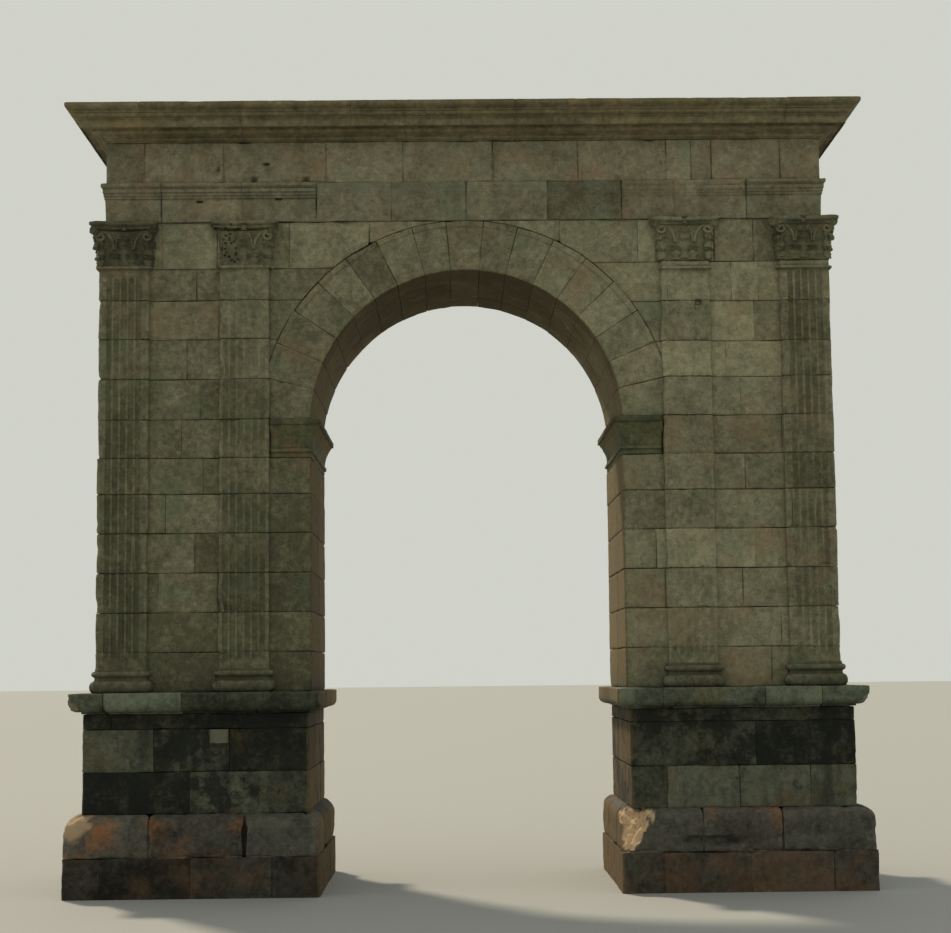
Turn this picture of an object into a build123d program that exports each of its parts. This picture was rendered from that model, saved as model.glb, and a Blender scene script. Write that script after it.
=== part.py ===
from build123d import *
import os
from math import cos, radians, sin

# A single-bay Roman road arch of large squared limestone blocks, about 11.8 m high. Each pier stands on a
# pedestal and carries fluted Corinthian pilasters, and a full entablature runs over the archway.
# Lengths are in millimetres and +Z is up. The origin is at the middle of the footprint, on the ground, and
# the front faces -Y.

# Plan of the pedestals
base_width = 11840.0  # across both footings, end to end
base_depth = 3700.0  # front to back over the footings
plinth_setback = 10.0  # the plinth course stands in from the footing
plinth_passage_reach = 128.0  # the plinth stands out from the shaft's reveal into the passage
dado_setback_ends = 243.0  # from the plinth to the dado at the two ends of the arch
dado_setback_faces = 170.0  # from the plinth to the dado at the front and the back
dado_passage_setback = 30.0  # the dado stands back from the shaft's reveal

# Heights of the pedestals
footing_height = 575.0
plinth_height = 626.0
plinth_rounding = 135.0  # worn round upper edge of the plinth
dado_height = 1452.0

# Cap of the pedestals: a small fillet under a broad slab with a rounded lower edge
cap_height = 302.0
cap_reach = 200.0  # the slab stands out from the dado
cap_fillet_height = 30.0
cap_fillet_reach = 25.0
cap_rounding = 95.0  # round lower edge of the slab

# Piers above the pedestals
opening_width = 4658.0  # between the reveals of the two piers
pier_width = 3111.0  # one pier from its reveal to the end wall, without pilasters
wall_depth = 2900.0  # front wall plane to back wall plane
course_height = 581.0  # one course of squared blocks
shaft_courses = 11  # courses from the pedestal cap to the capitals
impost_courses = 7  # courses from the pedestal cap to the springing

# Impost: a full course with a low fillet, a long hollow and a slab
impost_reach = 140.0
impost_slab_height = 120.0
impost_fillet_height = 50.0
impost_fillet_reach = 30.0
impost_bed = 25.0  # plain strip under the fillet
impost_throat = 15.0  # step from the hollow out to the slab
impost_hollow = 44.0  # how far the long hollow curves in

# Arch ring
arch_radius = 2347.0
arch_drop = 100.0  # the centre of the arch lies this far below the springing
ring_depth = 775.0  # length of a wedge stone along the radius
voussoir_count = 17
dry_joint = 0.5  # the stones are laid dry, without mortar

# Pilasters
pilaster_relief = 85.0  # the pilasters stand out from the wall
corner_width = 766.0  # each face of a pilaster that wraps round a corner
inner_width = 758.0  # a pilaster beside the archway
inner_margin = 624.0  # plain wall between the archway and the pilaster beside it
corner_flutes = 5
inner_flutes = 6
flute_pitch = 111.0
flute_radius = 54.0
flute_depth = 21.0
flute_stop = 90.0  # plain length left at the two ends of the flutes

# Pilaster bases: a large torus, a hollow, a small torus and a fillet
base_height = 360.0
base_reach = 85.0
large_torus_height = 175.0
small_torus_height = 85.0
small_torus_reach = 58.0
hollow_height = 60.0
hollow_reach = 14.0
torus_root = 30.0  # where the tori meet the hollow

# Capitals: a bead, two tiers of leaves, a flaring bell and an abacus
capital_height = 690.0
bead_height = 50.0
bead_reach = 32.0
bell_reach = 12.0
lower_leaf_height = 185.0
lower_leaf_reach = 38.0
upper_leaf_height = 430.0
upper_leaf_reach = 78.0
leaf_lip = 25.0  # thickness of a leaf's curled tip
abacus_height = 125.0
abacus_reach = 120.0
abacus_hollow = 18.0  # how far the abacus curves in on each face

# Architrave: three fasciae and a crown, with plain blocks let in over the archway at the front
architrave_height = 604.0
fascia_height = 135.0
fascia_step = 8.0
crown_reach = 75.0
crown_slab = 60.0
crown_hollow = 18.0  # how far the hollow under the slab curves in
plain_run = 4640.0  # length of the plain blocks

# Frieze and cornice
frieze_height = 641.0
cornice_height = 488.0
cornice_reach = 548.0
bed_mould_height = 145.0
bed_mould_reach = 130.0
bed_mould_swell = 28.0  # how far the bed mould curves out
band_height = 80.0  # plain band between the bed mould and the corona
band_reach = 185.0
corona_height = 92.0
corona_reach = 390.0
cyma_fillet = 14.0
cyma_swell = 13.0  # the cyma curves out, then in, by this much
top_fillet_height = 50.0

# Levels, from the ground up
plinth_level = footing_height
dado_level = plinth_level + plinth_height
cap_level = dado_level + dado_height
pier_level = cap_level + cap_height
springing_level = pier_level + impost_courses * course_height
capital_level = pier_level + shaft_courses * course_height
architrave_level = capital_level + capital_height
frieze_level = architrave_level + architrave_height
cornice_level = frieze_level + frieze_height

# Distances from the middle planes
reveal = opening_width / 2
wall_end = reveal + pier_width
wall_face = wall_depth / 2
footing_end = base_width / 2
footing_face = base_depth / 2
plinth_inner = reveal - plinth_passage_reach
dado_inner = reveal + dado_passage_setback
dado_end = footing_end - plinth_setback - dado_setback_ends
dado_face = footing_face - plinth_setback - dado_setback_faces
pilaster_end = wall_end + pilaster_relief
pilaster_face = wall_face + pilaster_relief
inner_start = reveal + inner_margin
arch_centre = springing_level - arch_drop
ring_radius = arch_radius + ring_depth
wedge_angle = 180 / voussoir_count
joint_angle = dry_joint / radians(1) / ring_radius

SIDES = {"left": -1, "right": 1}
FACES = {"front": -1, "back": 1}

os.makedirs("parts", exist_ok=True)


def save(piece, name):
    """Labels a finished piece and writes it to its own file."""
    piece.label = name
    export_step(piece, f"parts/{name}.step")


def slab_face(side, inner, end, face):
    """A rectangle in plan, from an inner distance to an outer one on one side, symmetric front to back."""
    with Locations((side * (inner + end) / 2, 0)):
        Rectangle(end - inner, 2 * face)


def moulded_block(edge, width, depth, centre):
    """A block that carries one moulding on its four sides: its front and side views, extruded and crossed."""
    with BuildPart() as block:
        for across, toward, size, reach in (
            ((1, 0, 0), (0, -1, 0), width, depth),
            ((0, 1, 0), (1, 0, 0), depth, width),
        ):
            with BuildSketch(Plane(origin=centre, x_dir=across, z_dir=toward)) as view:
                with BuildLine():
                    edge(size / 2)
                    mirror(about=Plane.YZ)
                make_face()
            crossing = Mode.INTERSECT if toward[0] else Mode.ADD
            extrude(view.sketch, amount=reach / 2 + cornice_reach, both=True, mode=crossing)
    return block.part


def chain(*points):
    """Straight edges through points, in order."""
    Polyline(*points)


def cap_edge(half):
    """Half of the pedestal cap in outline, from the middle of its bed round to the middle of its top."""
    fillet_edge = half + cap_fillet_reach
    lip = half + cap_reach
    rounding_top = cap_fillet_height + cap_rounding
    chain((0, 0), (fillet_edge, 0), (fillet_edge, cap_fillet_height), (lip - cap_rounding, cap_fillet_height))
    CenterArc((lip - cap_rounding, rounding_top), cap_rounding, -90, 90)
    chain((lip, rounding_top), (lip, cap_height), (0, cap_height))


def impost_edge(half):
    """Half of the impost in outline, with its low fillet, long hollow and slab."""
    fillet_top = impost_bed + impost_fillet_height
    slab = course_height - impost_slab_height
    throat = half + impost_reach - impost_throat
    chain(
        (0, 0),
        (half, 0),
        (half, impost_bed),
        (half + impost_fillet_reach, impost_bed),
        (half + impost_fillet_reach, fillet_top),
        (half, fillet_top),
    )
    SagittaArc((half, fillet_top), (throat, slab), impost_hollow)
    chain((throat, slab), (half + impost_reach, slab), (half + impost_reach, course_height), (0, course_height))


def base_edge(half):
    """Half of a pilaster base in outline: large torus, hollow, small torus and top fillet."""
    root = half + torus_root
    hollow_top = large_torus_height + hollow_height
    small_top = hollow_top + small_torus_height
    chain((0, 0), (root, 0))
    ThreePointArc((root, 0), (half + base_reach, large_torus_height / 2), (root, large_torus_height))
    ThreePointArc(
        (root, large_torus_height),
        (half + hollow_reach, (large_torus_height + hollow_top) / 2),
        (root, hollow_top),
    )
    ThreePointArc((root, hollow_top), (half + small_torus_reach, (hollow_top + small_top) / 2), (root, small_top))
    chain((root, small_top), (half + hollow_reach, small_top), (half + hollow_reach, base_height), (0, base_height))


def capital_edge(half):
    """Half of a capital in outline: bead, two tiers of leaf tips, bell and abacus."""
    bell = half + bell_reach
    lower_tip = half + lower_leaf_reach
    upper_tip = half + upper_leaf_reach
    lower_top = lower_leaf_height + leaf_lip
    upper_top = upper_leaf_height + leaf_lip
    abacus = capital_height - abacus_height
    chain((0, 0), (bell, 0))
    ThreePointArc((bell, 0), (half + bead_reach, bead_height / 2), (bell, bead_height))
    chain(
        (bell, bead_height),
        (bell, (bead_height + lower_leaf_height) / 2),
        (lower_tip, lower_leaf_height),
        (lower_tip, lower_top),
        (bell, lower_top),
        (lower_tip, (lower_top + upper_leaf_height) / 2),
        (upper_tip, upper_leaf_height),
        (upper_tip, upper_top),
        (lower_tip, upper_top),
    )
    ThreePointArc(
        (lower_tip, upper_top),
        (lower_tip + leaf_lip / 2, (upper_top + abacus) / 2),
        (half + abacus_reach - abacus_hollow, abacus),
    )
    chain(
        (half + abacus_reach - abacus_hollow, abacus),
        (half + abacus_reach, abacus + abacus_hollow),
        (half + abacus_reach, capital_height),
        (0, capital_height),
    )


def architrave_edge(half):
    """Half of the architrave in outline: three fasciae, a hollow and the crown's slab."""
    top_fascia = half + 2 * fascia_step
    crown_bottom = 3 * fascia_height
    slab = architrave_height - crown_slab
    chain(
        (0, 0),
        (half, 0),
        (half, fascia_height),
        (half + fascia_step, fascia_height),
        (half + fascia_step, 2 * fascia_height),
        (top_fascia, 2 * fascia_height),
        (top_fascia, crown_bottom),
    )
    SagittaArc((top_fascia, crown_bottom), (half + crown_reach, slab), crown_hollow)
    chain((half + crown_reach, slab), (half + crown_reach, architrave_height), (0, architrave_height))


def cornice_edge(half):
    """Half of the cornice in outline: bed mould, plain band, corona, cyma and top fillet."""
    bed_top = bed_mould_height
    band_top = bed_top + band_height
    corona_top = band_top + corona_height
    cyma_bottom = corona_top + cyma_fillet
    cyma_top = cornice_height - top_fillet_height
    cyma_root = half + corona_reach + cyma_fillet
    middle = ((cyma_root + half + cornice_reach) / 2, (cyma_bottom + cyma_top) / 2)
    chain((0, 0), (half + cyma_fillet, 0), (half + cyma_fillet, cyma_fillet))
    SagittaArc((half + cyma_fillet, cyma_fillet), (half + bed_mould_reach, bed_top), -bed_mould_swell)
    chain(
        (half + bed_mould_reach, bed_top),
        (half + band_reach, bed_top),
        (half + band_reach, band_top),
        (half + corona_reach, band_top),
        (half + corona_reach, corona_top),
        (cyma_root, corona_top),
        (cyma_root, cyma_bottom),
    )
    SagittaArc((cyma_root, cyma_bottom), middle, -cyma_swell)
    SagittaArc(middle, (half + cornice_reach, cyma_top), cyma_swell)
    chain((half + cornice_reach, cyma_top), (half + cornice_reach, cornice_height), (0, cornice_height))


def ring_stones(indices):
    """The wedge stones with these numbers, counted from the right springing, cut level at top and bottom."""
    with BuildPart() as stones:
        with BuildSketch(Plane.XZ) as front:
            for index in indices:
                start = index * wedge_angle + joint_angle / 2
                end = (index + 1) * wedge_angle - joint_angle / 2
                with BuildLine():
                    CenterArc((0, arch_centre), arch_radius, start, end - start)
                    CenterArc((0, arch_centre), ring_radius, start, end - start)
                    for angle in (start, end):
                        ray = Vector(cos(radians(angle)), sin(radians(angle)))
                        centre = Vector(0, arch_centre)
                        Line(centre + ray * arch_radius, centre + ray * ring_radius)
                make_face()
            with Locations((0, (springing_level + architrave_level) / 2)):
                Rectangle(2 * ring_radius, architrave_level - springing_level, mode=Mode.INTERSECT)
        extrude(front.sketch, amount=wall_face, both=True)
    return stones.part


# Footings, plinths, dados and caps of the two pedestals
for side_name, side in SIDES.items():
    with BuildPart() as footing:
        with BuildSketch(Plane.XY):
            slab_face(side, plinth_inner - plinth_setback, footing_end, footing_face)
        extrude(amount=footing_height)
    save(footing.part, f"footing_{side_name}")

    with BuildPart() as plinth:
        with BuildSketch(Plane.XY.offset(plinth_level)):
            slab_face(side, plinth_inner, footing_end - plinth_setback, footing_face - plinth_setback)
        extrude(amount=plinth_height)
        fillet(plinth.faces().sort_by(Axis.Z)[-1].edges(), plinth_rounding)
    save(plinth.part, f"plinth_{side_name}")

    with BuildPart() as dado:
        with BuildSketch(Plane.XY.offset(dado_level)):
            slab_face(side, dado_inner, dado_end, dado_face)
        extrude(amount=dado_height)
    save(dado.part, f"dado_{side_name}")

    cap_centre = (side * (dado_inner + dado_end) / 2, 0, cap_level)
    cap = moulded_block(cap_edge, dado_end - dado_inner, 2 * dado_face, cap_centre)
    save(cap, f"pedestal_cap_{side_name}")

# Pier walls, with the corner beside the archway left out for the impost course
for side_name, side in SIDES.items():
    with BuildPart() as pier:
        with BuildSketch(Plane.XZ) as elevation:
            with Locations((side * (reveal + wall_end) / 2, (pier_level + springing_level) / 2)):
                Rectangle(pier_width, springing_level - pier_level)
            with Locations((side * (reveal + inner_margin / 2), springing_level - course_height / 2)):
                Rectangle(inner_margin, course_height, mode=Mode.SUBTRACT)
        extrude(elevation.sketch, amount=wall_face, both=True)
    save(pier.part, f"pier_{side_name}")

    # The moulding turns from the reveal on to the front and the back and stops at the pilaster
    with BuildPart() as impost:
        impost_centre = (side * inner_start, 0, springing_level - course_height)
        add(moulded_block(impost_edge, 2 * inner_margin, wall_depth, impost_centre))
        with BuildSketch(Plane.XY.offset(springing_level - course_height)) as behind:
            with Locations((side * (inner_start + inner_margin), 0)):
                Rectangle(2 * inner_margin, 2 * base_depth)
        extrude(behind.sketch, amount=course_height, mode=Mode.SUBTRACT)
    save(impost.part, f"impost_{side_name}")

    # Wall above the springing, cut round to the back of the arch ring
    with BuildPart() as spandrel:
        with BuildSketch(Plane.XZ) as elevation:
            with Locations((side * wall_end / 2, (springing_level + architrave_level) / 2)):
                Rectangle(wall_end, architrave_level - springing_level)
            with Locations((0, arch_centre)):
                Circle(ring_radius + dry_joint, mode=Mode.SUBTRACT)
        extrude(elevation.sketch, amount=wall_face, both=True)
    save(spandrel.part, f"spandrel_{side_name}")

# Arch ring: the wedge stones up each haunch, and the keystone between them
haunch = voussoir_count // 2
save(ring_stones(range(haunch)), "voussoirs_right")
save(ring_stones(range(haunch + 1, voussoir_count)), "voussoirs_left")
save(ring_stones([haunch]), "keystone")

# Pilasters: base, fluted shaft and capital, one beside the archway and one round each corner
corner_middle = pilaster_end - corner_width / 2
corner_depth_middle = pilaster_face - corner_width / 2
inner_middle = inner_start + inner_width / 2
flute_axis = flute_radius - flute_depth  # the flute's axis lies this far in front of the pilaster's face
shaft_bottom = pier_level + base_height
shaft_length = capital_level - shaft_bottom

for side_name, side in SIDES.items():
    for face_name, face in FACES.items():
        for kind in ("corner", "inner"):
            if kind == "corner":
                middle = (side * corner_middle, face * corner_depth_middle)
                size = (corner_width, corner_width)
                flutes = corner_flutes
            else:
                middle = (side * inner_middle, face * wall_face)
                size = (inner_width, 2 * pilaster_relief)
                flutes = inner_flutes
            place = f"{kind}_{face_name}_{side_name}"

            with BuildPart() as shaft:
                with BuildSketch(Plane.XY.offset(shaft_bottom)) as section:
                    with Locations(middle):
                        Rectangle(*size)
                    Rectangle(2 * wall_end, wall_depth, mode=Mode.SUBTRACT)
                extrude(section.sketch, amount=shaft_length)
                with BuildSketch(Plane.XY.offset(shaft_bottom + flute_stop)) as grooves:
                    with Locations((middle[0], face * (pilaster_face + flute_axis))):
                        with GridLocations(flute_pitch, flute_pitch, flutes, 1):
                            Circle(flute_radius)
                    if kind == "corner":
                        with Locations((side * (pilaster_end + flute_axis), middle[1])):
                            with GridLocations(flute_pitch, flute_pitch, 1, flutes):
                                Circle(flute_radius)
                extrude(grooves.sketch, amount=shaft_length - 2 * flute_stop, mode=Mode.SUBTRACT)
            save(shaft.part, f"shaft_{place}")

            for member, edge, level, height in (
                ("base", base_edge, pier_level, base_height),
                ("capital", capital_edge, capital_level, capital_height),
            ):
                with BuildPart() as moulding:
                    add(moulded_block(edge, size[0], size[1], (middle[0], middle[1], level)))
                    with BuildSketch(Plane.XY.offset(level)) as wall:
                        Rectangle(2 * wall_end, wall_depth)
                    extrude(wall.sketch, amount=height, mode=Mode.SUBTRACT)
                save(moulding.part, f"{member}_{place}")

# Entablature, carried through the whole depth of the arch
with BuildPart() as architrave:
    add(moulded_block(architrave_edge, 2 * wall_end, wall_depth, (0, 0, architrave_level)))
    # The plain blocks over the archway have no fasciae steps or crown at the front
    with BuildSketch(Plane.XY.offset(architrave_level)) as plain:
        with Locations((0, -wall_face - fascia_step - crown_reach)):
            Rectangle(plain_run, 2 * crown_reach)
    extrude(plain.sketch, amount=architrave_height, mode=Mode.SUBTRACT)
save(architrave.part, "architrave")

with BuildPart() as frieze:
    with BuildSketch(Plane.XY.offset(frieze_level)):
        Rectangle(2 * wall_end, wall_depth)
    extrude(amount=frieze_height)
save(frieze.part, "frieze")

save(moulded_block(cornice_edge, 2 * wall_end, wall_depth, (0, 0, cornice_level)), "cornice")
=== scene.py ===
"""A single-bay road arch of squared limestone, with fluted Corinthian pilasters, as it stands weathered.

Lengths are in metres, +Z is up, the front faces -Y and the middle of the footprint is the origin.
"""
from math import pi

import bpy
import numpy as np
from mathutils import Matrix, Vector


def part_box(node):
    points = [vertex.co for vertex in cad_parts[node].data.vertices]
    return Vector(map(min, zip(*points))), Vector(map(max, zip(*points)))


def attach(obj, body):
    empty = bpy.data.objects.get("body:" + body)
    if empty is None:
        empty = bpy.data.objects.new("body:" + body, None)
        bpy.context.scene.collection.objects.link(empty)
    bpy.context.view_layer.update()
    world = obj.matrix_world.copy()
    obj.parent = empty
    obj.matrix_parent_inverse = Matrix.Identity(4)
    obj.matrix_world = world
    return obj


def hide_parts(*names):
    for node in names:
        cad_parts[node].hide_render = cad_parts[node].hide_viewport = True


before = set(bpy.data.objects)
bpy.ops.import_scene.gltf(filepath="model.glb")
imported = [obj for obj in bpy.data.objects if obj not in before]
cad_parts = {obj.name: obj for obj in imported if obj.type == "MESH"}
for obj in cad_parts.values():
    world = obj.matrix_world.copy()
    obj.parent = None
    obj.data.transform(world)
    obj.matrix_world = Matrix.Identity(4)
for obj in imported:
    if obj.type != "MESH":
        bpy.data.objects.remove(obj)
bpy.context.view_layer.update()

# The view is from a low rise in front of the archway, a little to the left of its middle, about 28 m
# away, and tipped up to take in the cornice. Nothing is shifted, and there is no depth of field.
eye = (-0.2162, -29.779, 3.2127)
turn, tip, roll = -0.01217, 0.10764, -0.01092
lens = bpy.data.cameras.new("view")
lens.sensor_width = 36.0
lens.lens = 71.92
camera = bpy.data.objects.new("view", lens)
bpy.context.collection.objects.link(camera)
camera.matrix_world = (
    Matrix.Translation(eye)
    @ Matrix.Rotation(turn, 4, "Z")
    @ Matrix.Rotation(pi / 2 + tip, 4, "X")
    @ Matrix.Rotation(roll, 4, "Z")
)
bpy.context.scene.camera = camera
bpy.context.scene.view_settings.view_transform = "Standard"

# A pale studio: an even sky, a soft key light from behind and to the left, high up, which reaches the
# reveal of the right pier and the ledges, and a pale level floor.
sky = bpy.data.worlds.new("sky")
bpy.context.scene.world = sky
sky.use_nodes = True
glow = sky.node_tree.nodes["Background"].inputs
glow["Color"].default_value = (0.63, 0.645, 0.59, 1)
glow["Strength"].default_value = 1.0
key = bpy.data.lights.new("key", "SUN")
key.energy = 3.0
key.angle = 0.09
key.color = (1.0, 0.87, 0.66)
key_lamp = bpy.data.objects.new("key", key)
bpy.context.collection.objects.link(key_lamp)
key_lamp.rotation_euler = (-0.585, -0.40, 0)

floor_reach = 400.0
floor_corners = np.array(((-1, -1, 0), (1, -1, 0), (1, 1, 0), (-1, 1, 0))) * floor_reach
floor_mesh = bpy.data.meshes.new("floor")
floor_mesh.from_pydata(floor_corners.tolist(), [], [(0, 1, 2, 3)])
floor = bpy.data.objects.new("floor", floor_mesh)
bpy.context.collection.objects.link(floor)
floor_paint = bpy.data.materials.new("floor_paint")
floor_paint.use_nodes = True
paint = floor_paint.node_tree.nodes["Principled BSDF"].inputs
paint["Base Color"].default_value = (0.33, 0.335, 0.325, 1)
paint["Roughness"].default_value = 0.9
floor_mesh.materials.append(floor_paint)

# Footings: one course of large squared blocks under each pier, set on the ground without mortar, in a
# reddish local limestone. Their arrises are rounded and the lower faces are damp and stained.
PIERS = (("left", -1), ("right", 1))  # each with its way out from the archway along X
ALONG = np.array(((1, 0), (0, 1), (-1, 0), (0, -1)))  # the four sides in turn: front, right, back, left
OUTWARD = np.array(((0, -1), (1, 0), (0, 1), (-1, 0)))
chance = np.random.default_rng(20)
lattice_cells = 48
lattice = chance.uniform(-1, 1, (lattice_cells,) * 3)
near_edge = np.array((0, 0.008, 0.022, 0.05))
groove_width, groove_depth = 0.003, 0.03


def held(values):
    """Values held between 0 and 1."""
    return np.clip(values, 0, 1)


def noise(points, size, seed):
    """Smooth random values from -1 to 1: random numbers on a cubic lattice of this size, blended between the
    eight corners round each point by the curve 3t^2 - 2t^3."""
    cells = points / size + 5.37 * seed
    whole = np.floor(cells).astype(int)
    part = cells - whole
    part = part * part * (3 - 2 * part)
    total = np.zeros(points.shape[:-1])
    for corner in np.ndindex(2, 2, 2):
        weight = np.prod(np.where(corner, part, 1 - part), axis=-1)
        i, j, k = np.moveaxis((whole + corner) % lattice_cells, -1, 0)
        total += weight * lattice[i, j, k]
    return total


def merged(*groups):
    """Places from several lists in one rising row, without any that lies within 4 mm of the one before."""
    places = np.sort(np.concatenate([np.ravel(group) for group in groups]))
    return places[np.insert(np.diff(places) > 0.004, 0, True)]


def spaced(first, last, step):
    """Places from the first to the last, both counted, no further apart than the step."""
    return np.linspace(first, last, max(1, int(np.ceil((last - first) / step))) + 1)


def closed_skin(index):
    """Faces over a closed shape whose points are numbered by level and by place round it: a quad between each
    four neighbours, and one face at each end."""
    beside = np.roll(index, -1, axis=1)
    quads = np.stack((index[:-1], beside[:-1], beside[1:], index[1:]), axis=-1).reshape(-1, 4)
    return quads, index[:1, ::-1], index[-1:]


def course(
    low, high, profile=None, joints=((), (), (), ()), steps=(0.045, 0.11, 0.15, 0.11), rise=0.064,
    push=(1, 1, 1, 1), lines=((), (), (), ()), relief=None, arris=0.035, worn=0.018, chips=0.09, eroded=0.006,
    pitted=0.010, cut=(True, True), zones=(0.3, 0.3), gaping=0.8, underside_shade=0.4, soot_and_shade=((0, 1), (0, 0)),
    stained=0.0, tones=None, place=None, seed=0,
):
    """A closed ring of stones on a rectangle in plan. The surface has two parameters: the way round the
    rectangle, and the way up the profile, which gives the reach out from the rectangle and the height, and is
    plumb where none is given. Every point moves along the profile's normal by: minus 0.29 R (1 - d/R)^2 at a
    distance d under R from an arris or joint, R being the worn radius there, times a random factor; minus the
    groove's depth in a joint; plus the relief that the caller gives; plus a few octaves of noise for erosion,
    and pits where it is highest. Dirt lies in the joints and on the last 22 mm beside each joint by as much
    as the caller gives. Painted shade lies in the hollows of the profile (where the middle of the chord over
    25 mm each way is in front of the surface), on undersides, in the deep parts of the relief together with
    dirt, and, with soot, between the heights that the caller gives. What is given by side goes front, right,
    back,
    left: the joints, the steps between columns, the extra lines, and the push, which scales the reach or
    works it out. The zones are the lengths at a side's two ends that stretch to meet its neighbours, and cut
    tells which beds are worn as joints."""
    low, high = np.array(low, float), np.array(high, float)
    size = high - low
    corners = np.array(((low[0], low[1]), (high[0], low[1]), (high[0], high[1]), (low[0], high[1])))
    profile = np.array(((0, 0), (0, size[2])) if profile is None else profile, float)
    arc = np.insert(np.cumsum(np.hypot(*np.diff(profile, axis=0).T)), 0, 0)
    total = arc[-1]

    def on_profile(t):
        """The reach and the height at a distance t up the profile, which goes no further than its ends."""
        return np.stack([np.interp(t, arc, column) for column in profile.T])

    rows = merged(arc, near_edge, total - near_edge, *[spaced(a, b, rise) for a, b in zip(arc, arc[1:])])
    rows[-1] = total
    deep_row = np.zeros(len(rows))
    for end, at in ((0, 0), (1, len(rows) - 1)):
        if cut[end]:
            rows = np.insert(rows, at + end, rows[at])
            deep_row = np.insert(deep_row, at + end, 1.0)
    slope = on_profile(rows + 0.002) - on_profile(rows - 0.002)
    slope = slope / np.linalg.norm(slope, axis=0)
    normal_out, normal_up = slope[1], -slope[0]

    stones, columns = 0, []
    for number in range(4):
        origin = corners[number] @ np.abs(ALONG[number])
        marks, extra = [(np.array(row[number]) - origin) * ALONG[number].sum() for row in (joints, lines)]
        ends = np.concatenate(((0,), np.sort(marks), (size[number % 2],)))
        for index, (first, last) in enumerate(zip(ends, ends[1:])):
            edge = near_edge * min(1, (last - first) / 0.3)
            mine = extra[(extra > first + 0.008) & (extra < last - 0.008)]
            places = merged(first + edge, last - edge, spaced(first, last, steps[number]), mine)
            places[-1] = last
            opening, closing = index > 0, index < len(ends) - 2
            if opening:
                places = np.insert(places, 0, first + groove_width / 2)
            places = np.append(places, last - groove_width / 2) if closing else places[:-1]
            sunk = np.zeros(len(places))
            sunk[[0, -1]] = opening, closing
            radii = worn if opening else arris, worn if closing else arris
            facts = number, places, places - first, last - places, sunk, stones, *radii
            columns.append(np.broadcast_arrays(*facts))
            stones += closing
    columns = np.concatenate(columns, axis=1)[..., None]
    side, along, before, after, deep, stone, radius_before, radius_after = columns
    stones = max(1, stones)
    side, stone = side[:, 0].astype(int), stone[:, 0].astype(int) % stones
    rows, deep_row = rows[None, :], deep_row[None, :]

    def surface(u, t, normal=0.0):
        """Points at a distance u along each column's side and t up the profile, moved along the normal."""
        reach, height = on_profile(t)
        height = height + low[2]
        out = np.stack(
            [p(reach, u, height, stone[:, None]) if callable(p) else p * reach + 0 * u for p in push]
        )
        mine, previous, following = [out[(side + turned) % 4, np.arange(len(side))] for turned in (0, -1, 1)]
        left = size[side % 2][:, None] - u
        stretch = following * held(1 - left / zones[1]) - previous * held(1 - u / zones[0])
        flat = (
            corners[side][:, None]
            + ALONG[side][:, None] * (u + stretch)[..., None]
            + OUTWARD[side][:, None] * (mine + normal_out * normal)[..., None]
        )
        return np.concatenate((flat, (height + normal_up * normal)[..., None]), axis=-1)

    base, over, under = [surface(along + 0 * rows, rows + step + 0 * along) for step in (0, 0.025, -0.025)]
    facing = 0 * base
    facing[..., :2] = OUTWARD[side][:, None] * normal_out[:, None]
    facing[..., 2] = normal_up
    bay = (((over + under) / 2 - base) * facing).sum(axis=-1)
    climbing = over - under
    overhang = (climbing[..., :2] * OUTWARD[side][:, None]).sum(axis=-1)
    overhang = overhang / np.linalg.norm(climbing + 1e-9, axis=-1)
    # Painted shade: in the hollows of the profile, on undersides, and, with soot, between the heights given.
    painted_shade = np.maximum(0.75 * held(bay / 0.005), underside_shade * held(overhang))
    painted_shade = np.maximum(painted_shade, np.interp(base[..., 2] - low[2], *soot_and_shade))
    bite = 1 + 0.75 * noise(base, 0.26, seed + 1) + 0.4 * noise(base, 0.08, seed + 2)
    chip = chips * held(noise(base, 0.31, seed + 3) - 0.42)

    def rounding(distance, radius):
        """How far the arris moves in, and how far it moves along: 0.29 R (1 - d/R)^2 and 0.29 R (1 - d/R)."""
        local = np.maximum(radius * bite + chip, 0.004)
        left = held(1 - distance / local)
        return 0.29 * local * left**2, 0.29 * local * left

    in_before, move_before = rounding(before, radius_before)
    in_after, move_after = rounding(after, radius_after)
    in_low, move_low = rounding(rows, worn) if cut[0] else (0, 0)
    in_high, move_high = rounding(total - rows, worn) if cut[1] else (0, 0)
    inset = np.hypot(in_before + in_after, in_low + in_high)
    groove = np.maximum(deep, deep_row) > 0
    packed = gaping * np.clip(0.5 + 1.2 * noise(base, 0.42, seed + 9), 0.08, 1)
    inset = np.where(groove, 0.35 * inset + groove_depth * packed, inset)
    shift = np.where(deep > 0, 0, move_before - move_after)
    climb = np.where(deep_row > 0, 0, move_low - move_high)
    dice = np.random.default_rng(seed + 11)
    if tones is None:
        tones = dice.normal(0, 0.4, (stones, 3))
    flush = dice.uniform(-0.003, 0.003, stones)[stone][:, None]
    wave = 0.5 * noise(base, 0.8, seed + 4) + 0.35 * noise(base, 0.24, seed + 5)
    wave = wave + 0.25 * noise(base, 0.09, seed + 6)
    pit = np.clip(noise(base, 0.12, seed + 7) + 0.35 * noise(base, 0.045, seed + 8) - 0.62, 0, 0.6)
    move = flush + eroded * wave - pitted * pit / 0.3 - inset
    hollow = 0
    if relief is not None:
        carved = relief(side[:, None] + 0 * rows.astype(int), base)
        carved = np.where(groove, np.minimum(carved + groove_depth * packed, 0), carved)
        move = move + carved
        # Painted shade, with some dirt, in the deep parts of the relief, such as the flutes and the holes.
        hollow = 0.5 * held(-carved / 0.013 - 0.6) + 0.45 * held(-carved / 0.03 - 1.3)
    points = surface(along + shift, rows + climb, move)
    if place is not None:
        points = place(points)

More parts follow.
